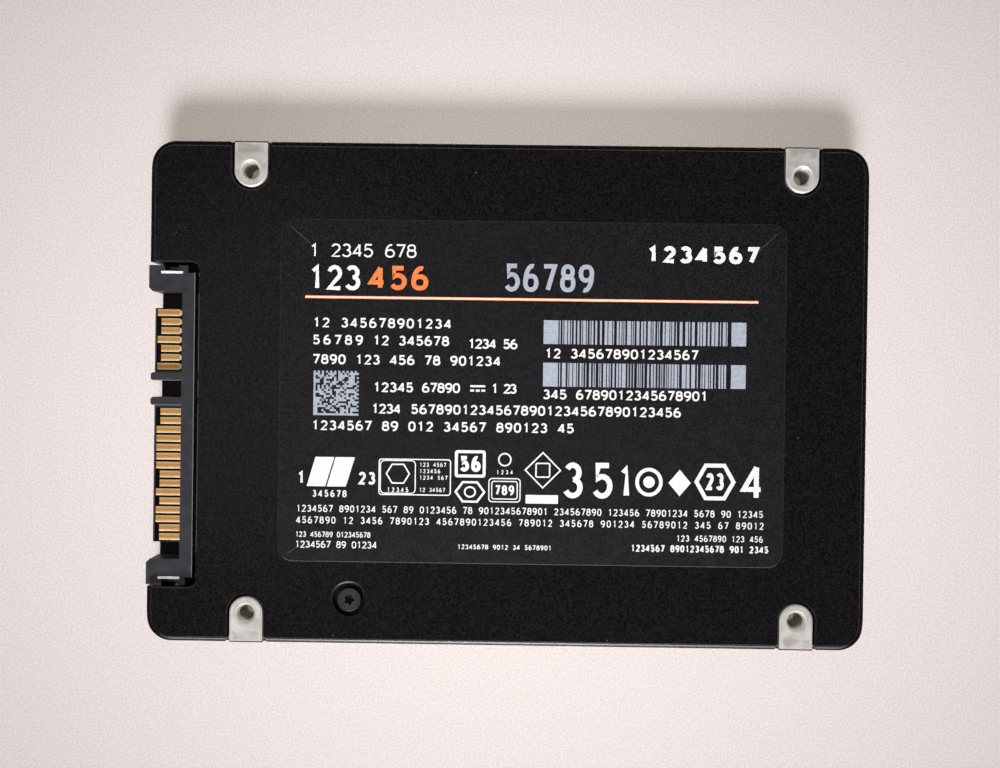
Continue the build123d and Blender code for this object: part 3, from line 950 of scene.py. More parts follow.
@dataclass(frozen=True)
class ContactGold:
    """Worn gold plating on a row of spring blades: painted highlights on the rolled edges and a duller wiped
    middle.

    Each blade is crowned: its face falls off with the square of the distance from its middle. Painted shade
    darkens the blades where they run under the housing.
    """

    name: str
    wiped_colour: Colour = (0.64, 0.32, 0.088)
    plain_colour: Colour = (0.84, 0.52, 0.22)
    # Painted highlight on the rolled edges and necks, and painted shade where the blades are under the
    # housing.
    edge_colour: Colour = (1.0, 0.84, 0.58)
    hidden_colour: Colour = (0.006, 0.004, 0.003)
    pitch: float = 1.27
    half_width: float = 0.475
    crown: float = 0.05
    streaks: tuple[float, float, float] = (1.0, 3.0, 1.0)
    grain_scale: float = 2600.0
    grain_depth: float = 0.006
    ragged: Span = Span(-0.16, 0.16)
    wiped: Span = Span(0.22, 0.60)
    rolled: Span = Span(0.60, 0.90)
    rolled_opacity: float = 0.9
    lit_side: Span = Span(-0.2, 0.2)
    lit_opacity: Span = Span(1.0, 0.3)
    bent_opacity: float = 0.55
    bent_fade: float = 0.06
    hidden_fade: float = 0.05
    metallic: float = 0.45
    roughness: Span = Span(0.34, 0.46)

    def material(self, blades: Room, neck: Span, open_to: float) -> bpy.types.Material:
        """Makes the material.

        Args:
            blades: The box of the row of blades.
            neck: The stretch along X where each blade bends down, which gets a painted highlight.
            open_to: X past which the blades run under the housing and the cover, where painted shade darkens
                them.

        Returns:
            The material: tone across each blade, with noise along it, painted highlights and shade, and a
                crown in height.
        """
        sheet = MaterialSheet(self.name, {"Metallic": self.metallic})
        first = (blades.y.high - self.half_width) * MM
        past_first = sheet.math("SUBTRACT", sheet.axis(sheet.place, "Y"), first)
        steps = sheet.math("DIVIDE", past_first, self.pitch * MM)
        turn = sheet.math("SUBTRACT", sheet.math("FRACT", sheet.math("ADD", steps, 0.5)), 0.5)
        across = sheet.times(sheet.math("ABSOLUTE", turn), self.pitch / self.half_width)
        height, tone = sheet.grain(self.grain_scale, sheet.stretched(sheet.place, self.streaks))
        ragged = sheet.math("ADD", across, sheet.remap(height, GRAIN_RANGE, self.ragged))
        wiped = sheet.remap(ragged, self.wiped, FALLING)
        base = sheet.mix(wiped, self.plain_colour, self.wiped_colour)
        # Painted highlight on the rolled edges, stronger on the side that faces -Y.
        facing = sheet.remap(turn, self.lit_side, self.lit_opacity)
        rolled = sheet.times(sheet.times(sheet.remap(ragged, self.rolled), facing), self.rolled_opacity)
        # Painted highlight at each blade's neck.
        neck_highlight = sheet.times(sheet.within(Room(x=neck), self.bent_fade), self.bent_opacity)
        base = sheet.mix(sheet.math("MAXIMUM", rolled, neck_highlight), base, self.edge_colour)
        # Painted shade where the blades run under the housing and the cover.
        under_cover_shade = sheet.within(Room(x=Span(open_to, 0.0)), self.hidden_fade)
        base = sheet.mix(under_cover_shade, base, self.hidden_colour)
        sheet.relief(sheet.times(sheet.times(across, across), -1.0), self.crown)
        return sheet.finish(base, sheet.remap(tone, TONE_RANGE, self.roughness), height, self.grain_depth)


@dataclass(frozen=True)
class Shade:
    """Painted light or shade: another colour, and another roughness if given, inside a box."""

    room: Room
    colour: Colour
    roughness: float | None = None


@dataclass(frozen=True)
class Moulding:
    """Moulded plastic or compound: a fine sparked grain with a slow change of tone and gloss."""

    name: str
    colour: Colour
    roughness: Span = Span(0.36, 0.50)
    lightest: float = 1.35
    specks: Specks = Specks(900.0, 0.04, 0.09, 0.5, (0.25, 0.24, 0.23))
    grain_scale: float = 7000.0
    grain_depth: float = 0.006
    shine: float = 0.5

    def material(self, shades: Sequence[Shade] = ()) -> bpy.types.Material:
        """Makes the material: grain in height, tone in colour and gloss, a few pale specks, and any painted
        light or shade.

        Args:
            shades: Boxes of painted light or shade, each with its own colour and any roughness.

        Returns:
            The material.
        """
        sheet = MaterialSheet(self.name, {"Specular IOR Level": self.shine})
        height, tone = sheet.grain(self.grain_scale)
        lighter = tuple(min(1.0, self.lightest * part) for part in self.colour)
        base = sheet.specked(sheet.mix(sheet.remap(tone, TONE_RANGE), self.colour, lighter), self.specks)
        rough = sheet.remap(tone, TONE_RANGE, self.roughness)
        for shade in shades:
            mask = sheet.within(shade.room)
            base = sheet.mix(mask, base, shade.colour)
            if shade.roughness is not None:
                change = sheet.times(mask, sheet.math("SUBTRACT", shade.roughness, rough))
                rough = sheet.math("ADD", rough, change)
        return sheet.finish(base, rough, height, self.grain_depth)


@dataclass(frozen=True)
class Film:
    """A thin flat finish, as paper, label film and ink have: a grain that mottles two colours."""

    name: str
    colour: Colour
    other_colour: Colour
    mottle: Span
    roughness: Span | float
    grain_scale: float
    grain_depth: float
    shine: float = 0.5
    dust: tuple[Specks, ...] = ()

    def material(self) -> bpy.types.Material:
        """Makes the material.

        Returns:
            The material: mottle in colour, tone in roughness unless that is even, and dust.
        """
        plain = {"Specular IOR Level": self.shine}
        if not isinstance(self.roughness, Span):
            plain["Roughness"] = self.roughness
        sheet = MaterialSheet(self.name, plain)
        height, tone = sheet.grain(self.grain_scale)
        base = sheet.mix(sheet.remap(height, self.mottle), self.colour, self.other_colour)
        for specks in self.dust:
            base = sheet.specked(base, specks)
        rough = None if "Roughness" in plain else sheet.remap(tone, TONE_RANGE, self.roughness)
        return sheet.finish(base, rough, height, self.grain_depth)


@dataclass(frozen=True)
class SolderMask:
    """A board's solder mask over its copper: straight-edged islands under a glossy coat."""

    name: str = "board_mask"
    colour: Colour = (0.004, 0.022, 0.015)
    track_colour: Colour = (0.008, 0.042, 0.028)
    island_scale: float = 700.0
    unevenness: float = 0.6
    border: Span = Span(0.36, 0.40)
    copper_height: float = 0.02
    roughness: float = 0.28

    def material(self) -> bpy.types.Material:
        """Makes the material.

        Cells of a grid drawn with square distance give straight-edged islands, whose borders are
        the gaps between copper areas.

        Returns:
            The material.
        """
        sheet = MaterialSheet(self.name, {"Roughness": self.roughness})
        inputs = {"Vector": sheet.place, "Scale": self.island_scale, "Randomness": self.unevenness}
        cells = sheet.add("ShaderNodeTexVoronoi", inputs, feature="F1", distance="CHEBYCHEV")
        copper = sheet.remap(cells.outputs["Distance"], self.border, FALLING)
        base = sheet.mix(copper, self.colour, self.track_colour)
        return sheet.finish(base, None, copper, self.copper_height)


# ---- Pieces -------------------------------------------------------------------------------


@dataclass
class Assembly:
    """A sub-assembly of the drive: nodes of the loaded frame, and finer pieces that are added."""

    frame: dict

    def dress(self, material: bpy.types.Material, *nodes: str) -> None:
        """Gives nodes of the frame their material.

        Args:
            material: The material.
            nodes: The nodes' names.
        """
        for name in nodes:
            node = self.frame["nodes"][name]
            if not node.material_slots:
                node.data.materials.append(material)
            for slot in node.material_slots:
                slot.material = material
            LOG.info("%s: %s", name, material.name)

    def add(
        self, name: str, surface: Surface, material: bpy.types.Material, slot: str, smooth_below: float = 30.0
    ) -> None:
        """Adds a piece.

        Args:
            name: The piece's name.
            surface: Its surface.
            material: Its material.
            slot: The record's material slot; not used.
            smooth_below: Degrees; an edge that turns by more is drawn sharp.
        """
        piece = bpy.data.objects.new(name, surface.mesh(name, smooth_below))
        piece.data.materials.append(material)
        bpy.context.scene.collection.objects.link(piece)
        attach(piece, "root")
        LOG.info("%s: %d points", name, len(surface.points))

    def build(self) -> None:
        """Dresses the nodes and adds the pieces, which each sub-assembly does in its own way."""
        raise NotImplementedError


@dataclass(frozen=True)
class Block:
    """A mounting block of the frame: at an end of the case, on its left at +Y or on its right."""

    end: str
    side: str
    hole_inset: float = 4.065

    @property
    def node(self) -> str:
        """The name of its node."""
        return f"mount_block_{self.end}_{self.side}"

    @property
    def room(self) -> Room:
        """The space that it takes."""
        return Room.of(self.node)

    def inwards(self, distance: float) -> float:
        """Y of a distance inside its outer face."""
        across = self.room.y.shrunk(distance)
        return across.high if self.side == "left" else across.low

    def hole(self) -> Point:
        """The axis of its bottom hole, in plan."""
        return self.room.x.middle, self.inwards(self.hole_inset)


BLOCKS = [Block(end, side) for end in ("rear", "front") for side in ("left", "right")]


@dataclass
class Case(Assembly):
    """The shell and its cover, coated alike, and the screws that hold the cover."""

    shell: CoatedMetal = CoatedMetal(
        "shell_coat", shine=0.2, roughness=Span(0.24, 0.30), rim=Span(0.25, 0.54)
    )
    cover: CoatedMetal = CoatedMetal("cover_coat")
    screw: Moulding = Moulding("screw_oxide", (0.017, 0.017, 0.018), Span(0.40, 0.52), grain_scale=4200.0)
    drive_shade: Colour = (0.0015, 0.0015, 0.0015)
    drive_drop: float = 0.06
    recess: Point = (-21.65, -28.85)
    scuff: Room = Room(Span(-46.9, -44.7), Span(21.4, 23.4), Span(6.0, 7.0))
    drill_radius: float = 1.3
    drill_reach: Span = Span(0.3, 4.5)

    def drilled(self) -> list[Room]:
        """The places in the shell that the drills of the blocks' bottom holes reach."""
        reach = Span(-self.drill_radius, self.drill_radius)
        return [Room(reach.moved(x), reach.moved(y), self.drill_reach) for x, y in map(Block.hole, BLOCKS)]

    def build(self) -> None:
        """Dresses the shell, the cover and the screws, whose drives get painted shade, darker than their
        heads.
        """
        case = Room.of("base_shell")
        self.dress(self.shell.material(case, drilled=self.drilled()), "base_shell")
        self.dress(self.cover.material(case, self.recess, [self.scuff]), "label_cover")
        heads = Room.of("cover_screws").z
        # Painted shade in the screws' drive recesses and below their heads.
        below = Room(z=Span(heads.low, heads.high - self.drive_drop))
        self.dress(self.screw.material([Shade(below, self.drive_shade)]), "cover_screws")


@dataclass
class MountBlocks(Assembly):
    """The four bare metal blocks, and the threads in their bottom and side holes."""

    finish: MilledBoss = MilledBoss()
    thread_finish: ThreadMetal = ThreadMetal()
    coat_depth: float = 0.2
    # The layer under the blocks' top face where their bevels get a painted highlight.
    bevel: Span = Span(-0.2, -0.02)
    cut: ThreadCut = ThreadCut()
    bottom_mouth: float = 0.25
    bottom_depth: float = 4.6
    side_hole_drop: float = 3.0
    side_mouth: float = 0.2
    side_depth: float = 2.2
    tool_inset: float = 0.35
    tool_reach: tuple[float, float] = (0.25, 1.75)
    crease: float = 50.0

    def tooled(self, block: Block) -> Room:
        """The duller oblong on a block's bottom face, near its outer side."""
        across = Span(*sorted(block.inwards(reach) for reach in self.tool_reach))
        return Room(block.room.x.shrunk(self.tool_inset), across)

    def threads(self, block: Block) -> Surface:
        """Makes the threads of one block.

        Args:
            block: The block.

        Returns:
            The linings of its bottom hole and of its side hole.
        """
        top = block.room.z.high
        bottom_mouth = (*block.hole(), top - self.bottom_mouth)
        side_mouth = (block.room.x.middle, block.inwards(self.side_mouth), top - self.side_hole_drop)
        bottom = self.cut.lining(bottom_mouth, self.bottom_depth, Lie.UP)
        return Surface.joined([bottom, self.cut.lining(side_mouth, self.side_depth, Lie(block.side))])

    def build(self) -> None:
        """Dresses the blocks and adds their threads."""
        top = BLOCKS[0].room.z.high
        between = Room.of("base_shell").y.shrunk(self.coat_depth)
        bevels = Room(y=between, z=self.bevel.moved(top))
        metal = self.finish.material(Room(y=between), bevels, [self.tooled(block) for block in BLOCKS])
        thread_metal = self.thread_finish.material(top)
        for block in BLOCKS:
            self.dress(metal, block.node)
            name = block.node.replace("block", "threads")
            self.add(name, self.threads(block), thread_metal, "block_metal", self.crease)


@dataclass
class PlugConnector(Assembly):
    """The plug's housing, its gold contacts and the plates that lock it to the board.

    Places on it are counted from the rows of contacts and from the front face of the back bar.
    """

    plastic: Moulding = Moulding("connector_plastic", (0.030, 0.031, 0.037), Span(0.46, 0.58), shine=0.25)
    # Painted shade in the blades' beds and behind the back bar.
    sunk_colour: Colour = (0.0030, 0.0008, 0.0004)
    sunk_roughness: float = 0.16
    # Painted highlight on the edges of the moulding that face the light.
    edge_colour: Colour = (0.17, 0.17, 0.18)
    signal_gold: ContactGold = ContactGold("signal_gold")
    power_gold: ContactGold = ContactGold("power_gold")
    tin: Moulding = Moulding("lock_tin", (0.84, 0.84, 0.84), Span(0.36, 0.48))
    # Painted shade on the lock plates under the housing and the cover.
    hidden_tin: Colour = (0.012, 0.012, 0.012)
    bar_front_setback: float = 4.2
    bar_thickness: float = 1.8
    bar_inside: float = 0.5
    deck_drop: float = 0.3
    bed_margin: float = 0.14
    bed_depth: float = 0.2
    blade_rise: float = 0.05
    edge_width: float = 0.12
    edge_layer: Span = Span(-0.1, 0.05)
    edge_lead: float = 1.0
    skin: float = 0.05
    face_gap: float = 0.01
    bar_gap: float = 0.02
    key_rise: float = 0.95
    block_to_signal: float = 2.3
    key_to_signal: float = 1.54
    key_to_power: float = 0.46
    block_to_power: float = 6.065
    signal_neck: Span = Span(-0.80, -0.3)
    power_neck: Span = Span(-0.16, 0.1)

    def bed(self, blades: Room, bar_front: float) -> Room:
        """The sunk bed that a row of blades lies in.

        Args:
            blades: The box of the row.
            bar_front: X of the front face of the back bar.

        Returns:
            The bed, from just under the face of the tongue.
        """
        face = blades.z.high - self.blade_rise
        reach = self.bed_margin + self.skin
        return Room(
            Span(blades.x.low - reach, bar_front + self.skin),
            blades.y.shrunk(-reach),
            Span(face - self.bed_depth - self.skin, face - self.face_gap),
        )

    def moulded_edges(self, signal: Room, power: Room, bar: Span, top: float) -> list[Room]:
        """The places where a highlight is painted on a rounded edge of the moulding.

        Args:
            signal: The box of the signal contacts.
            power: The box of the power contacts.
            bar: The stretch along X of the back bar.
            top: The height of the housing.

        Returns:
            The rear edge of the bar, and the edges of both end blocks and both keys that face -Y.
        """
        block_tops = self.edge_layer.moved(top)
        key_tops = self.edge_layer.moved(signal.z.high + self.key_rise)
        lines = (
            (signal.y.high + self.block_to_signal, block_tops),
            (signal.y.low - self.key_to_signal, key_tops),
            (power.y.high + self.key_to_power, key_tops),
            (power.y.low - self.block_to_power, block_tops),
        )
        along = Span(signal.x.low - self.edge_lead, bar.low)
        reach = Span(-self.skin, self.edge_width)
        rear_edge = Room(x=Span(bar.high - self.edge_width, bar.high + self.skin), z=block_tops)
        return [rear_edge] + [Room(along, reach.moved(level), tops) for level, tops in lines]

    def build(self) -> None:
        """Dresses the connector."""
        signal = Room.of("signal_contacts")
        power = Room.of("power_contacts")
        bar_front = Room.of("base_shell").x.low + self.bar_front_setback
        bar = Span(bar_front, bar_front + self.bar_thickness)
        top = Room.of("connector_housing").z.high
        below_deck = Span(0.0, top - self.deck_drop)
        # Painted shade: the beds and the space behind the back bar are darkened.
        sunk = [self.bed(signal, bar_front), self.bed(power, bar_front)]
        sunk.append(Room(x=Span(bar.high - self.bar_gap, 0.0), z=below_deck))
        # Painted highlights on the moulded edges that face -Y and on the bar's rear edge.
        shades = [Shade(edge, self.edge_colour) for edge in self.moulded_edges(signal, power, bar, top)]
        shades += [Shade(room, self.sunk_colour, self.sunk_roughness) for room in sunk]
        self.dress(self.plastic.material(shades), "connector_housing")
        inside = bar_front + self.bar_inside
        signal_gold = self.signal_gold.material(signal, self.signal_neck.moved(bar_front), inside)
        self.dress(signal_gold, "signal_contacts")
        power_gold = self.power_gold.material(power, self.power_neck.moved(bar_front), inside)
        self.dress(power_gold, "power_contacts")
        # Painted shade on the lock plates behind the bar, under the housing and the cover.
        under_cover_shade = Shade(Room(x=Span(inside, 0.0), z=below_deck), self.hidden_tin)
        self.dress(self.tin.material([under_cover_shade]), "board_lock_left", "board_lock_right")


@dataclass
class BoardParts(Assembly):
    """The board and what stands on it: each finish with the nodes that have it."""

    packages: tuple[str, ...] = (
        "controller_chip",
        "cache_memory_chip",
        "flash_package_left",
        "flash_package_right",
        "power_management_chip",
        "load_switch_chip",
    )
    compound: Moulding = Moulding("package_compound", (0.013, 0.013, 0.014), Span(0.42, 0.58))
    others: tuple[tuple[SolderMask | Moulding | PlatedLid, str], ...] = (
        (SolderMask(), "circuit_board"),
        (Moulding("thermal_pad", (0.26, 0.27, 0.29), Span(0.75, 0.88)), "controller_thermal_pad"),
        (Moulding("inductor_ferrite", (0.055, 0.055, 0.060), Span(0.48, 0.62)), "power_inductors"),
        (Moulding("bulk_capacitor_case", (0.42, 0.27, 0.07), Span(0.40, 0.52)), "bulk_capacitors"),
        (Moulding("ceramic_tan", (0.36, 0.24, 0.15), Span(0.36, 0.48)), "decoupling_capacitors"),
        (Moulding("resistor_glaze", (0.012, 0.012, 0.014), Span(0.22, 0.34)), "chip_resistors"),
        (PlatedLid(), "crystal_oscillator"),
    )

    def build(self) -> None:
        """Dresses the board and its parts."""
        self.dress(self.compound.material(), *self.packages)
        for finish, node in self.others:
            self.dress(finish.material(), node)


# ---- The label's print --------------------------------------------------------------------


def digit_strokes(digit: str, steps: int) -> list[tuple[np.ndarray, bool]]:
    """Centre lines of a plain digit, in a cell one wide and one high.

    Args:
        digit: 0 to 9, or a blank, which has none.
        steps: Points in a quarter turn.

    Returns:
        Each line's points, and whether it closes.
    """
    turn = 2 * steps + 1
    lower = oval((0.5, 0.29), (0.5, 0.29), 4 * steps, 2.3)
    upper = oval((0.5, 0.76), (0.42, 0.24), 4 * steps, 2.2)
    tail = bow((0.62, 0.30), (0.62, 0.70), Span(180, 78), turn)
    crook = bow((0.5, 0.72), (0.46, 0.28), Span(165, -32), turn)
    belly = bow((0.45, 0.32), (0.53, 0.32), Span(120, -150), turn)
    over = bow((0.46, 0.755), (0.42, 0.245), Span(150, -85), turn)
    under = bow((0.46, 0.27), (0.5, 0.27), Span(85, -155), turn)
    open_lines = {
        "1": [[(0.22, 0.80), (0.58, 1.0), (0.58, 0.0)]],
        "2": [np.concatenate([crook, [(0.04, 0.0), (1.0, 0.0)]])],
        "3": [over, under],
        "4": [[(0.74, 0.0), (0.74, 1.0)], [(0.74, 1.0), (0.0, 0.27), (1.0, 0.27)]],
        "5": [np.concatenate([[(0.90, 1.0), (0.16, 1.0), (0.09, 0.52)], belly])],
        "6": [tail],
        "7": [[(0.0, 1.0), (0.98, 1.0), (0.36, 0.0)]],
        "9": [1.0 - tail],
    }
    rings = {
        "0": [oval((0.5, 0.5), (0.5, 0.5), 4 * steps, 2.6)],
        "6": [lower],
        "8": [lower, upper],
        "9": [1.0 - lower],
    }
    lines = [(np.array(path), False) for path in open_lines.get(digit, [])]
    return lines + [(path, True) for path in rings.get(digit, [])]


def counting(words: Sequence[int], first: int) -> str:
    """Words of the given lengths, made of digits that count up from a first one, with blanks between."""
    digits = iter(str((n + first) % 10) for n in range(sum(words)))
    return " ".join("".join(next(digits) for _ in range(length)) for length in words)


@dataclass(frozen=True)
class Mark:
    """Something printed: where it lies from the label's left and top edges, and any extra height."""

    across: Span
    down: Span
    lift: float = field(default=0.0, kw_only=True)

    def room(self, label: Room, levels: Span) -> Room:
        """The space that it takes on the label, between the levels of the print."""
        up = Span(label.y.high - self.down.high, label.y.high - self.down.low)
        return Room(self.across.moved(label.x.low), up, Span(levels.low, levels.high + self.lift))

    def printed(self, room: Room) -> Surface:
        """Its surface, which each kind of mark makes in its own way."""
        raise NotImplementedError


@dataclass(frozen=True)
class TextRow(Mark):
    """A row of counting digits that fills its place, in words of the given lengths.

    The stroke's width is the boldness times the height of a digit, and a digit is as wide as the
    narrowness times its height. Curves are smoother the taller the row is.
    """

    words: tuple[int, ...]
    boldness: float = 0.18
    narrowness: float = 0.74
    first: int = 1
    heights: tuple[float, float] = (1.1, 1.8)
    steps: tuple[int, int, int] = (2, 3, 6)
    layer: float = 0.0008

    def printed(self, room: Room) -> Surface:
        """Writes the digits.

        Args:
            room: The space of the row.

        Returns:
            The strips, each stroke of a digit a hair higher than the one before it.
        """
        height = self.down.length
        stroke = self.boldness * height
        width = self.narrowness * height
        steps = self.steps[sum(height >= limit for limit in self.heights)]
        text = counting(self.words, self.first)
        pitch = (self.across.length - width) / max(1, len(text) - 1)
        cell = np.array([width - stroke, height - stroke])
        start = np.array([room.x.low, room.y.low]) + stroke / 2
        parts = []
        for place, digit in enumerate(text):
            for layer, (path, closed) in enumerate(digit_strokes(digit, steps)):
                levels = Span(room.z.low, room.z.high + layer * self.layer)
                parts.append(strip(start + (place * pitch, 0.0) + path * cell, stroke, levels, closed))
        return Surface.joined(parts)


class Shape(Enum):
    """Plain printed shapes. One with straight sides names its corners, in halves of its size."""

    OVAL = "oval"
    BOX = "box"
    BAR = ((1, 1), (-1, 1), (-1, -1), (1, -1))
    DIAMOND = ((1, 0), (0, 1), (-1, 0), (0, -1))
    HEXAGON = ((1, 0), (0.5, 1), (-0.5, 1), (-1, 0), (-0.5, -1), (0.5, -1))
    LEANING = ((1, 1), (-0.4, 1), (-1, -1), (0.4, -1))


@dataclass(frozen=True)
class Figure(Mark):
    """A plain shape: solid where its stroke is 0, and otherwise a line as wide as its stroke."""

    shape: Shape
    stroke: float = 0.0
    corner: float = 0.3
    points_round: int = 40

    def printed(self, room: Room) -> Surface:
        """Draws the shape.

        Args:
            room: The space of the shape.

        Returns:
            A plate, or a strip whose middle lies half a stroke inside the shape's place.
        """
        middle = np.array([room.x.middle, room.y.middle])
        size = np.array([self.across.length, self.down.length]) - self.stroke
        if self.shape is Shape.OVAL:
            outline = oval(middle, size / 2, self.points_round)
        elif self.shape is Shape.BOX:
            outline = rounded_box(middle, size, self.corner)
        else:
            outline = middle + size / 2 * np.array(self.shape.value)
        if self.stroke:
            return strip(outline, self.stroke, room.z, True)
        return plate(outline, room.z)


@dataclass(frozen=True)
class BarField(Mark):
    """A field of upright bars between two solid end blocks."""

    seed: int
    unit: float = 0.13
    width_odds: tuple[float, ...] = (0.42, 0.30, 0.18, 0.10)
    gap_odds: tuple[float, ...] = (0.55, 0.32, 0.13)
    end_block: float = 2.05
    margin: float = 0.18
    most: int = 200

    def printed(self, room: Room) -> Surface:
        """Lays out the bars.

        Bar widths, and then the gaps after them, are drawn as whole numbers of units, each
        number from one up with its own odds. Each bar starts at the sum of all widths and gaps
        before it. Bars past the far end block are dropped.

        Args:
            room: The space of the field.

        Returns:
            The bars and the end blocks.
        """
        draw = np.random.default_rng(self.seed)
        widths, gaps = (
            draw.choice(np.arange(len(odds)) + 1, self.most, p=odds) * self.unit
            for odds in (self.width_odds, self.gap_odds)
        )
        inset = self.end_block + self.margin
        starts = self.across.low + inset + np.concatenate([[0.0], np.cumsum(widths + gaps)[:-1]])
        kept = starts + widths < self.across.high - inset
        block = self.end_block
        ends = [self.across.low + block / 2, self.across.high - block / 2]
        middles = np.concatenate([(starts + widths / 2)[kept], ends]) + room.x.low - self.across.low
        widths = np.concatenate([widths[kept], [block, block]])
        places = np.column_stack([middles, np.full(len(middles), room.y.middle)])
        return slabs(places, np.column_stack([widths, np.full(len(widths), self.down.length)]), room.z)


@dataclass(frozen=True)
class DotSquare(Mark):
    """A square of small cells, some of them printed, with two solid edges and two dashed ones."""

    cells: int = 22
    seed: int = 11
    filled: float = 0.55

    def printed(self, room: Room) -> Surface:
        """Lays out the cells.

        Row 0 is the top and column 0 the left, and a cell's middle is half a cell in from its
        corner. Inside, a cell is printed where a random number is under the share that is
        filled. The left column and the bottom row are solid, and the top row and the right
        column are every other cell.

        Args:
            room: The space of the square.

        Returns:
            The printed cells.
        """
        draw = np.random.default_rng(self.seed)
        grid = draw.random((self.cells, self.cells)) < self.filled
        every_other = np.arange(self.cells) % 2 == 0
        grid[0, :] = every_other
        grid[:, -1] = ~every_other
        grid[:, 0] = True
        grid[-1, :] = True
        row, column = np.nonzero(grid)
        size = np.array([self.across.length, self.down.length]) / self.cells
        steps = np.column_stack([column + 0.5, -0.5 - row])
        return slabs(np.array([room.x.low, room.y.high]) + steps * size, np.tile(size, (len(row), 1)), room.z)


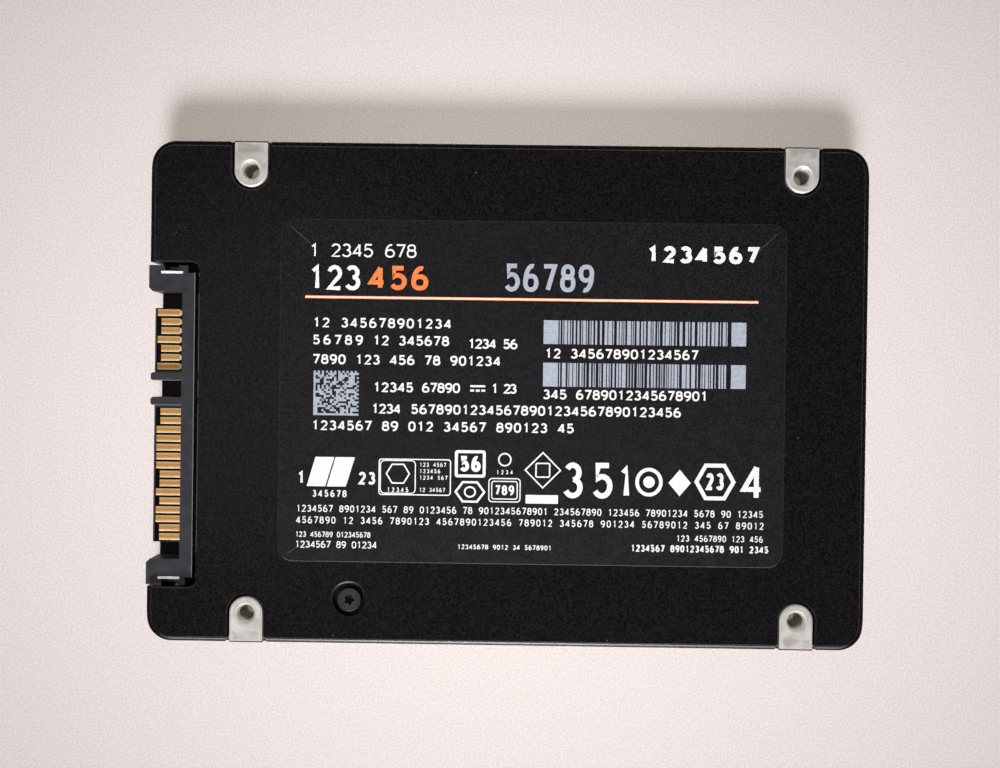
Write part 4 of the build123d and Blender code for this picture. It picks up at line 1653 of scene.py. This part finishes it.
@dataclass
class LabelPrint(Assembly):
    """All print on the label: plain numbers, bars and plain figures, raised a hair from the film."""

    film: Film = Film(
        "label_film",
        (0.0020, 0.0019, 0.0030),
        (0.0128, 0.0124, 0.0156),
        Span(0.43, 0.59),
        Span(0.38, 0.48),
        4600.0,
        0.003,
        0.4,
        (
            Specks(900.0, 0.12, 0.10, 0.25, (0.22, 0.21, 0.20)),
            Specks(260.0, 0.10, 0.055, 0.8, (0.22, 0.21, 0.20)),
        ),
    )
    ink_mottle: Span = Span(0.42, 0.75)
    voided_mottle: Span = Span(0.36, 0.75)
    ink_roughness: Span = Span(0.38, 0.50)
    ink_grain: tuple[float, float] = (4200.0, 0.002)
    white: tuple[Colour, Colour] = ((0.86, 0.86, 0.86), (0.66, 0.66, 0.67))
    orange: tuple[Colour, Colour] = ((0.90, 0.17, 0.040), (0.95, 0.32, 0.12))
    pale: tuple[Colour, Colour] = ((0.98, 0.80, 0.68), (0.90, 0.66, 0.52))
    grey: tuple[Colour, Colour] = ((0.42, 0.46, 0.55), (0.28, 0.31, 0.38))
    edge: Moulding = Moulding("label_cut_edge", (0.015, 0.015, 0.017), shine=0.2)
    # Painted highlights: a paler cut edge along the side where Y is least, and paler slits.
    lit_edge: Colour = (0.075, 0.075, 0.082)
    lit_slit: Colour = (0.065, 0.065, 0.07)
    lit_reach: Span = Span(-1.0, 0.6)
    slit_inset: float = 0.8
    sink: float = 0.005
    rise: float = 0.012
    edge_rise: float = 0.004
    edge_width: float = 0.10
    edge_corner: float = 2.15
    edge_steps: int = 9
    slit_width: float = 0.09
    slits: tuple[tuple[Point, Point], ...] = (
        ((1.3, 1.0), (4.2, 3.5)),
        ((69.0, 1.3), (66.4, 3.7)),
        ((1.4, 46.6), (4.0, 44.9)),
    )
    rule: Figure = Figure(Span(3.5, 66.4), Span(10.66, 11.06), Shape.BAR)
    rule_core: Figure = Figure(Span(3.5, 66.4), Span(10.75, 10.97), Shape.BAR, lift=0.004)
    headings: tuple[TextRow, ...] = (
        TextRow(Span(4.0, 18.9), Span(3.4, 5.3), (1, 4, 3), 0.13, 0.72),
        TextRow(Span(3.9, 11.2), Span(6.4, 9.9), (3,), 0.165, 0.63),
        TextRow(Span(50.8, 66.4), Span(3.2, 5.6), (7,), 0.25, 0.76),
    )
    orange_heading: TextRow = TextRow(Span(12.3, 20.6), Span(6.4, 9.8), (3,), 0.19, 0.70, 4)
    grey_heading: TextRow = TextRow(Span(31.2, 43.6), Span(5.9, 9.8), (5,), 0.16, 0.55, 5)
    rows: tuple[TextRow, ...] = (
        TextRow(Span(4.6, 23.9), Span(13.7, 15.1), (2, 12)),
        TextRow(Span(4.6, 11.6), Span(16.1, 17.5), (5,), first=5),
        TextRow(Span(13.0, 23.6), Span(16.1, 17.5), (2, 6)),
        TextRow(Span(26.2, 33.1), Span(16.4, 17.8), (4, 2)),
        TextRow(Span(4.6, 30.8), Span(18.8, 20.2), (4, 3, 3, 2, 6), first=7),
        TextRow(Span(13.1, 18.7), Span(22.6, 24.0), (5,)),
        TextRow(Span(19.9, 25.2), Span(22.6, 24.0), (5,), first=6),
        TextRow(Span(29.5, 33.1), Span(22.6, 24.0), (1, 2)),
        TextRow(Span(12.9, 17.0), Span(25.6, 27.0), (4,)),
        TextRow(Span(18.4, 55.9), Span(25.6, 27.0), (32,), first=5),
        TextRow(Span(4.6, 41.1), Span(28.0, 29.4), (7, 2, 3, 5, 6, 2)),
        TextRow(Span(36.9, 58.2), Span(17.6, 19.0), (2, 15)),
        TextRow(Span(36.7, 59.6), Span(23.3, 24.7), (3, 16), first=3),
    )
    small_rows: tuple[TextRow, ...] = (
        TextRow(Span(2.6, 67.5), Span(39.8, 40.8), (7, 7, 3, 2, 7, 2, 13, 9, 6, 8, 4, 2, 5), 0.15, 0.62),
        TextRow(Span(2.6, 67.6), Span(41.4, 42.4), (7, 2, 4, 7, 13, 6, 6, 6, 8, 3, 2, 5), 0.15, 0.62, 4),
        TextRow(Span(2.5, 13.0), Span(43.5, 44.3), (3, 6, 9), 0.16, 0.60),
        TextRow(Span(2.5, 13.9), Span(44.8, 45.8), (7, 2, 5), 0.15, 0.66),
        TextRow(Span(25.1, 38.2), Span(45.0, 45.7), (8, 4, 2, 7), 0.18, 0.66),
        TextRow(Span(55.5, 67.5), Span(43.3, 44.2), (3, 7, 3, 3), 0.15, 0.60),
        TextRow(Span(49.2, 68.3), Span(44.7, 45.7), (7, 11, 3, 4), 0.20, 0.60),
    )
    figure_digits: tuple[TextRow, ...] = (
        TextRow(Span(2.6, 3.9), Span(35.1, 36.9), (1,), 0.20, 0.70),
        TextRow(Span(11.2, 13.6), Span(35.1, 36.9), (2,), 0.20, 0.60, 2),
        TextRow(Span(4.8, 9.6), Span(37.7, 38.7), (6,), 0.18, 0.60, 3),
        TextRow(Span(25.3, 28.2), Span(32.7, 34.9), (2,), 0.24, 0.60, 5),
        TextRow(Span(30.4, 32.7), Span(34.6, 35.2), (4,), 0.18, 0.60),
        TextRow(Span(30.2, 32.9), Span(36.7, 38.1), (3,), 0.20, 0.56, 7),
        TextRow(Span(39.7, 42.5), Span(33.4, 38.4), (1,), 0.15, 0.56, 3),
        TextRow(Span(43.8, 46.6), Span(33.4, 38.4), (1,), 0.15, 0.56, 5),
        TextRow(Span(47.4, 49.4), Span(33.6, 38.3), (1,), 0.17, 0.42, 1),
        TextRow(Span(59.5, 62.0), Span(34.6, 37.0), (2,), 0.20, 0.46, 2),
        TextRow(Span(64.4, 67.5), Span(33.4, 38.3), (1,), 0.14, 0.62, 4),
        TextRow(Span(19.7, 23.4), Span(33.7, 34.3), (3, 4), 0.18, 0.60),
        TextRow(Span(19.7, 22.6), Span(34.6, 35.2), (6,), 0.18, 0.60),
        TextRow(Span(19.7, 23.6), Span(35.5, 36.1), (4, 3), 0.18, 0.60),
        TextRow(Span(19.7, 23.3), Span(37.2, 37.8), (2, 5), 0.18, 0.60),
        TextRow(Span(15.2, 18.2), Span(37.2, 37.9), (5,), 0.18, 0.60),
    )
    figures: tuple[Figure, ...] = (
        Figure(Span(4.0, 8.0), Span(33.1, 37.2), Shape.LEANING),
        Figure(Span(6.6, 10.7), Span(33.1, 37.2), Shape.LEANING),
        Figure(Span(14.0, 24.1), Span(33.2, 38.3), Shape.BOX, 0.17, 0.35),
        Figure(Span(14.2, 19.2), Span(33.4, 38.1), Shape.BOX, 0.15, 0.55),
        Figure(Span(15.0, 18.4), Span(33.9, 36.7), Shape.HEXAGON, 0.20),
        Figure(Span(24.6, 28.9), Span(31.9, 35.7), Shape.BOX, 0.42, 0.2),
        Figure(Span(30.6, 32.5), Span(32.2, 34.1), Shape.OVAL, 0.22),
        Figure(Span(24.6, 28.9), Span(36.2, 39.2), Shape.HEXAGON, 0.30),
        Figure(Span(25.9, 27.6), Span(36.9, 38.5), Shape.OVAL, 0.24),
        Figure(Span(29.3, 33.8), Span(35.7, 39.1), Shape.BOX, 0.16, 0.45),
        Figure(Span(29.7, 33.4), Span(36.1, 38.7), Shape.BOX, 0.16, 0.3),
        Figure(Span(34.3, 39.4), Span(32.0, 37.1), Shape.DIAMOND, 0.20),
        Figure(Span(35.8, 37.9), Span(33.5, 35.6), Shape.BOX, 0.20, 0.2),
        Figure(Span(34.5, 39.0), Span(38.0, 39.2), Shape.BOX, 0.0, 0.05),
        Figure(Span(49.7, 53.5), Span(34.0, 38.0), Shape.OVAL, 0.50),
        Figure(Span(50.8, 52.4), Span(35.2, 36.8), Shape.OVAL),
        Figure(Span(54.3, 57.4), Span(34.2, 37.9), Shape.DIAMOND),
        Figure(Span(57.9, 63.6), Span(33.3, 38.4), Shape.HEXAGON, 0.55),
        Figure(Span(26.6, 28.7), Span(22.85, 23.13), Shape.BOX, 0.0, 0.05),
        Figure(Span(26.6, 27.15), Span(23.45, 23.75), Shape.BOX, 0.0, 0.05),
        Figure(Span(27.38, 27.92), Span(23.45, 23.75), Shape.BOX, 0.0, 0.05),
        Figure(Span(28.15, 28.7), Span(23.45, 23.75), Shape.BOX, 0.0, 0.05),
    )
    bar_fields: tuple[BarField, ...] = (
        BarField(Span(36.7, 64.8), Span(13.7, 17.0), 3),
        BarField(Span(36.7, 64.8), Span(19.6, 22.9), 8),
    )
    dot_square: DotSquare = DotSquare(Span(4.8, 11.1), Span(21.1, 27.3))

    def ink(self, name: str, colours: tuple[Colour, Colour], mottle: Span) -> bpy.types.Material:
        """The material of an ink, whose second colour shows where it is worn."""
        return Film(name, *colours, mottle, self.ink_roughness, *self.ink_grain).material()

    def build(self) -> None:
        """Dresses the label, prints it and cuts it."""
        self.dress(self.film.material(), "label_sheet")
        label = Room.of("label_sheet")
        levels = Span(label.z.high - self.sink, label.z.high + self.rise)
        white = self.ink("print_white", self.white, self.ink_mottle)
        orange = self.ink("print_orange", self.orange, self.ink_mottle)
        pale = self.ink("print_pale", self.pale, self.ink_mottle)
        grey = self.ink("print_blue_grey", self.grey, self.voided_mottle)
        layers = (
            ("headings", self.headings, white),
            ("orange_heading", [self.orange_heading], orange),
            ("grey_heading", [self.grey_heading], grey),
            ("text_rows", self.rows, white),
            ("small_rows", self.small_rows, white),
            ("figures", self.figures, white),
            ("figure_digits", self.figure_digits, white),
            ("bars", self.bar_fields, grey),
            ("dot_square", [self.dot_square], grey),
            ("rule", [self.rule], orange),
            ("rule_core", [self.rule_core], pale),
        )
        for name, marks, ink in layers:
            surface = Surface.joined(mark.printed(mark.room(label, levels)) for mark in marks)
            self.add(f"label_{name}", surface, ink, "label_film")
        # Painted highlights on the cut edge along the side where Y is least and in the slits.
        inner = Room(label.x.shrunk(self.slit_inset), label.y.shrunk(self.slit_inset))
        lit_side = Room(y=self.lit_reach.moved(label.y.low))
        edge = self.edge.material([Shade(lit_side, self.lit_edge), Shade(inner, self.lit_slit)])
        self.add("label_cut_edge", self.cut_edge(label), edge, "label_film")

    def cut_edge(self, label: Room) -> Surface:
        """Cuts the label out.

        Args:
            label: The space of the label.

        Returns:
            The paler cut edge of the film all round, and the short slits at its corners.
        """
        levels = Span(label.z.high - self.sink, label.z.high + self.edge_rise)
        size = (label.x.length - self.edge_width, label.y.length - self.edge_width)
        outline = rounded_box((label.x.middle, label.y.middle), size, self.edge_corner, self.edge_steps)
        parts = [strip(outline, self.edge_width, levels, True)]
        for ends in self.slits:
            path = np.array([label.x.low, label.y.high]) + np.array(ends) * (1, -1)
            parts.append(strip(path, self.slit_width, levels))
        return Surface.joined(parts)


# ---- Studio -------------------------------------------------------------------------------


@dataclass(frozen=True)
class Lamp:
    """A soft light: its place and aim in millimetres, width, power in watts and beam in degrees.

    It is round, or a rectangle when it has a height of its own. It may leave out its share of
    the gloss, as a light does that the camera stands in front of, or give only gloss.
    """

    name: str
    place: tuple[float, float, float]
    aim: tuple[float, float, float]
    width: float
    power: float
    spread: float
    colour: Colour
    height: float = 0.0
    gives_gloss: bool = True
    gives_diffuse: bool = True

    def hang(self) -> None:
        """Hangs the lamp: tilted from straight down by the slope of its line to its aim."""
        light = bpy.data.lights.new(self.name, "AREA")
        light.shape = "RECTANGLE" if self.height else "DISK"
        light.size = self.width * MM
        light.size_y = self.height * MM
        light.spread = math.radians(self.spread)
        light.energy = self.power
        light.color = self.colour
        lamp = bpy.data.objects.new(self.name, light)
        towards = np.array(self.place) - np.array(self.aim)
        tilt = math.atan2(math.hypot(towards[0], towards[1]), towards[2])
        lamp.location = np.array(self.place) * MM
        lamp.rotation_euler = (tilt, 0.0, math.atan2(towards[1], towards[0]) + math.pi / 2)
        lamp.visible_glossy = self.gives_gloss
        lamp.visible_diffuse = self.gives_diffuse
        bpy.context.scene.collection.objects.link(lamp)


KEY = Lamp(
    "key", (-10.0, -559.0, 421.0), (0.0, 0.0, 0.0), 520.0, 0.37, 28.0, (1.0, 0.985, 1.04), height=240.0
)
OVERHEAD = Lamp(
    "overhead", (-8.0, -4.0, 300.0), (0.0, -2.0, 0.0), 80.0, 0.043, 46.0, (1.0, 0.97, 0.88), gives_gloss=False
)
SHEEN = Lamp(
    "sheen", (-90.0, 0.0, 300.0), (0.0, 0.0, 0.0), 160.0, 0.0018, 70.0, (1.0, 0.98, 0.96), gives_diffuse=False
)


@dataclass
class Studio:
    """A pale sheet, a soft key light from the drive's right side, two lights overhead and a camera.

    The surroundings are bright near the horizon only.
    """

    paper: Film = Film(
        "studio_paper", (0.865, 0.797, 0.790), (0.725, 0.665, 0.658), Span(0.38, 0.62), 0.8, 3600.0, 0.006
    )
    paper_half: float = 900.0
    camera_place: tuple[float, float, float] = (0.04, 2.20, 147.94)
    camera_turn: tuple[float, float, float] = (-0.00442, 0.00716, 0.0132)
    lens: float = 36.57
    sensor: float = 36.0
    clip: Span = Span(5.0, 20000.0)
    lamps: tuple[Lamp, ...] = (KEY, OVERHEAD, SHEEN)
    zenith: Colour = (0.09, 0.0864, 0.0864)
    horizon: Colour = (0.70, 0.6615, 0.602)
    bright_to_dark: Span = Span(0.15, 0.45)

    def floor(self) -> None:
        """Lays the sheet."""
        corners = np.array([(-1, -1, 0), (1, -1, 0), (1, 1, 0), (-1, 1, 0)]) * self.paper_half
        mesh = Surface(corners, np.array([[0, 1, 2, 3]])).mesh("floor")
        mesh.materials.append(self.paper.material())
        floor = bpy.data.objects.new("floor", mesh)
        bpy.context.scene.collection.objects.link(floor)

    def sky(self) -> None:
        """Lights the surroundings, by the sine of the height above the horizon."""
        world = bpy.data.worlds.new("studio")
        bpy.context.scene.world = world
        world.use_nodes = True
        sheet = Nodes(world.node_tree)
        sine = sheet.axis(sheet.add("ShaderNodeTexCoord").outputs["Generated"], "Z")
        colour = sheet.mix(sheet.remap(sine, self.bright_to_dark), self.horizon, self.zenith)
        background = sheet.add("ShaderNodeBackground", {"Color": colour, "Strength": 1.0})
        sheet.add("ShaderNodeOutputWorld", {"Surface": background.outputs[0]})

    def camera(self) -> None:
        """Sets the camera above the drive."""
        data = bpy.data.cameras.new("camera")
        data.lens = self.lens
        data.sensor_width = self.sensor
        data.clip_start = self.clip.metres.low
        data.clip_end = self.clip.metres.high
        camera = bpy.data.objects.new("camera", data)
        camera.location = np.array(self.camera_place) * MM
        camera.rotation_euler = self.camera_turn
        bpy.context.scene.collection.objects.link(camera)
        bpy.context.scene.camera = camera

    def build(self) -> None:
        """Sets up the studio."""
        bpy.context.scene.view_settings.view_transform = "Standard"
        self.camera()
        self.floor()
        self.sky()
        for lamp in self.lamps:
            lamp.hang()


def main() -> None:
    """Loads the frame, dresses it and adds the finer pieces."""
    logging.basicConfig(level=logging.INFO, format="%(message)s")
    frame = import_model()
    for build_group in (build_grain, build_specks, build_streaks, build_box, build_outline):
        build_group()
    Studio().build()
    for assembly in (Case, MountBlocks, PlugConnector, BoardParts, LabelPrint):
        assembly(frame).build()
        LOG.info("%s finished", assembly.__name__)
    bpy.context.view_layer.update()


if __name__ == "__main__":
    main()
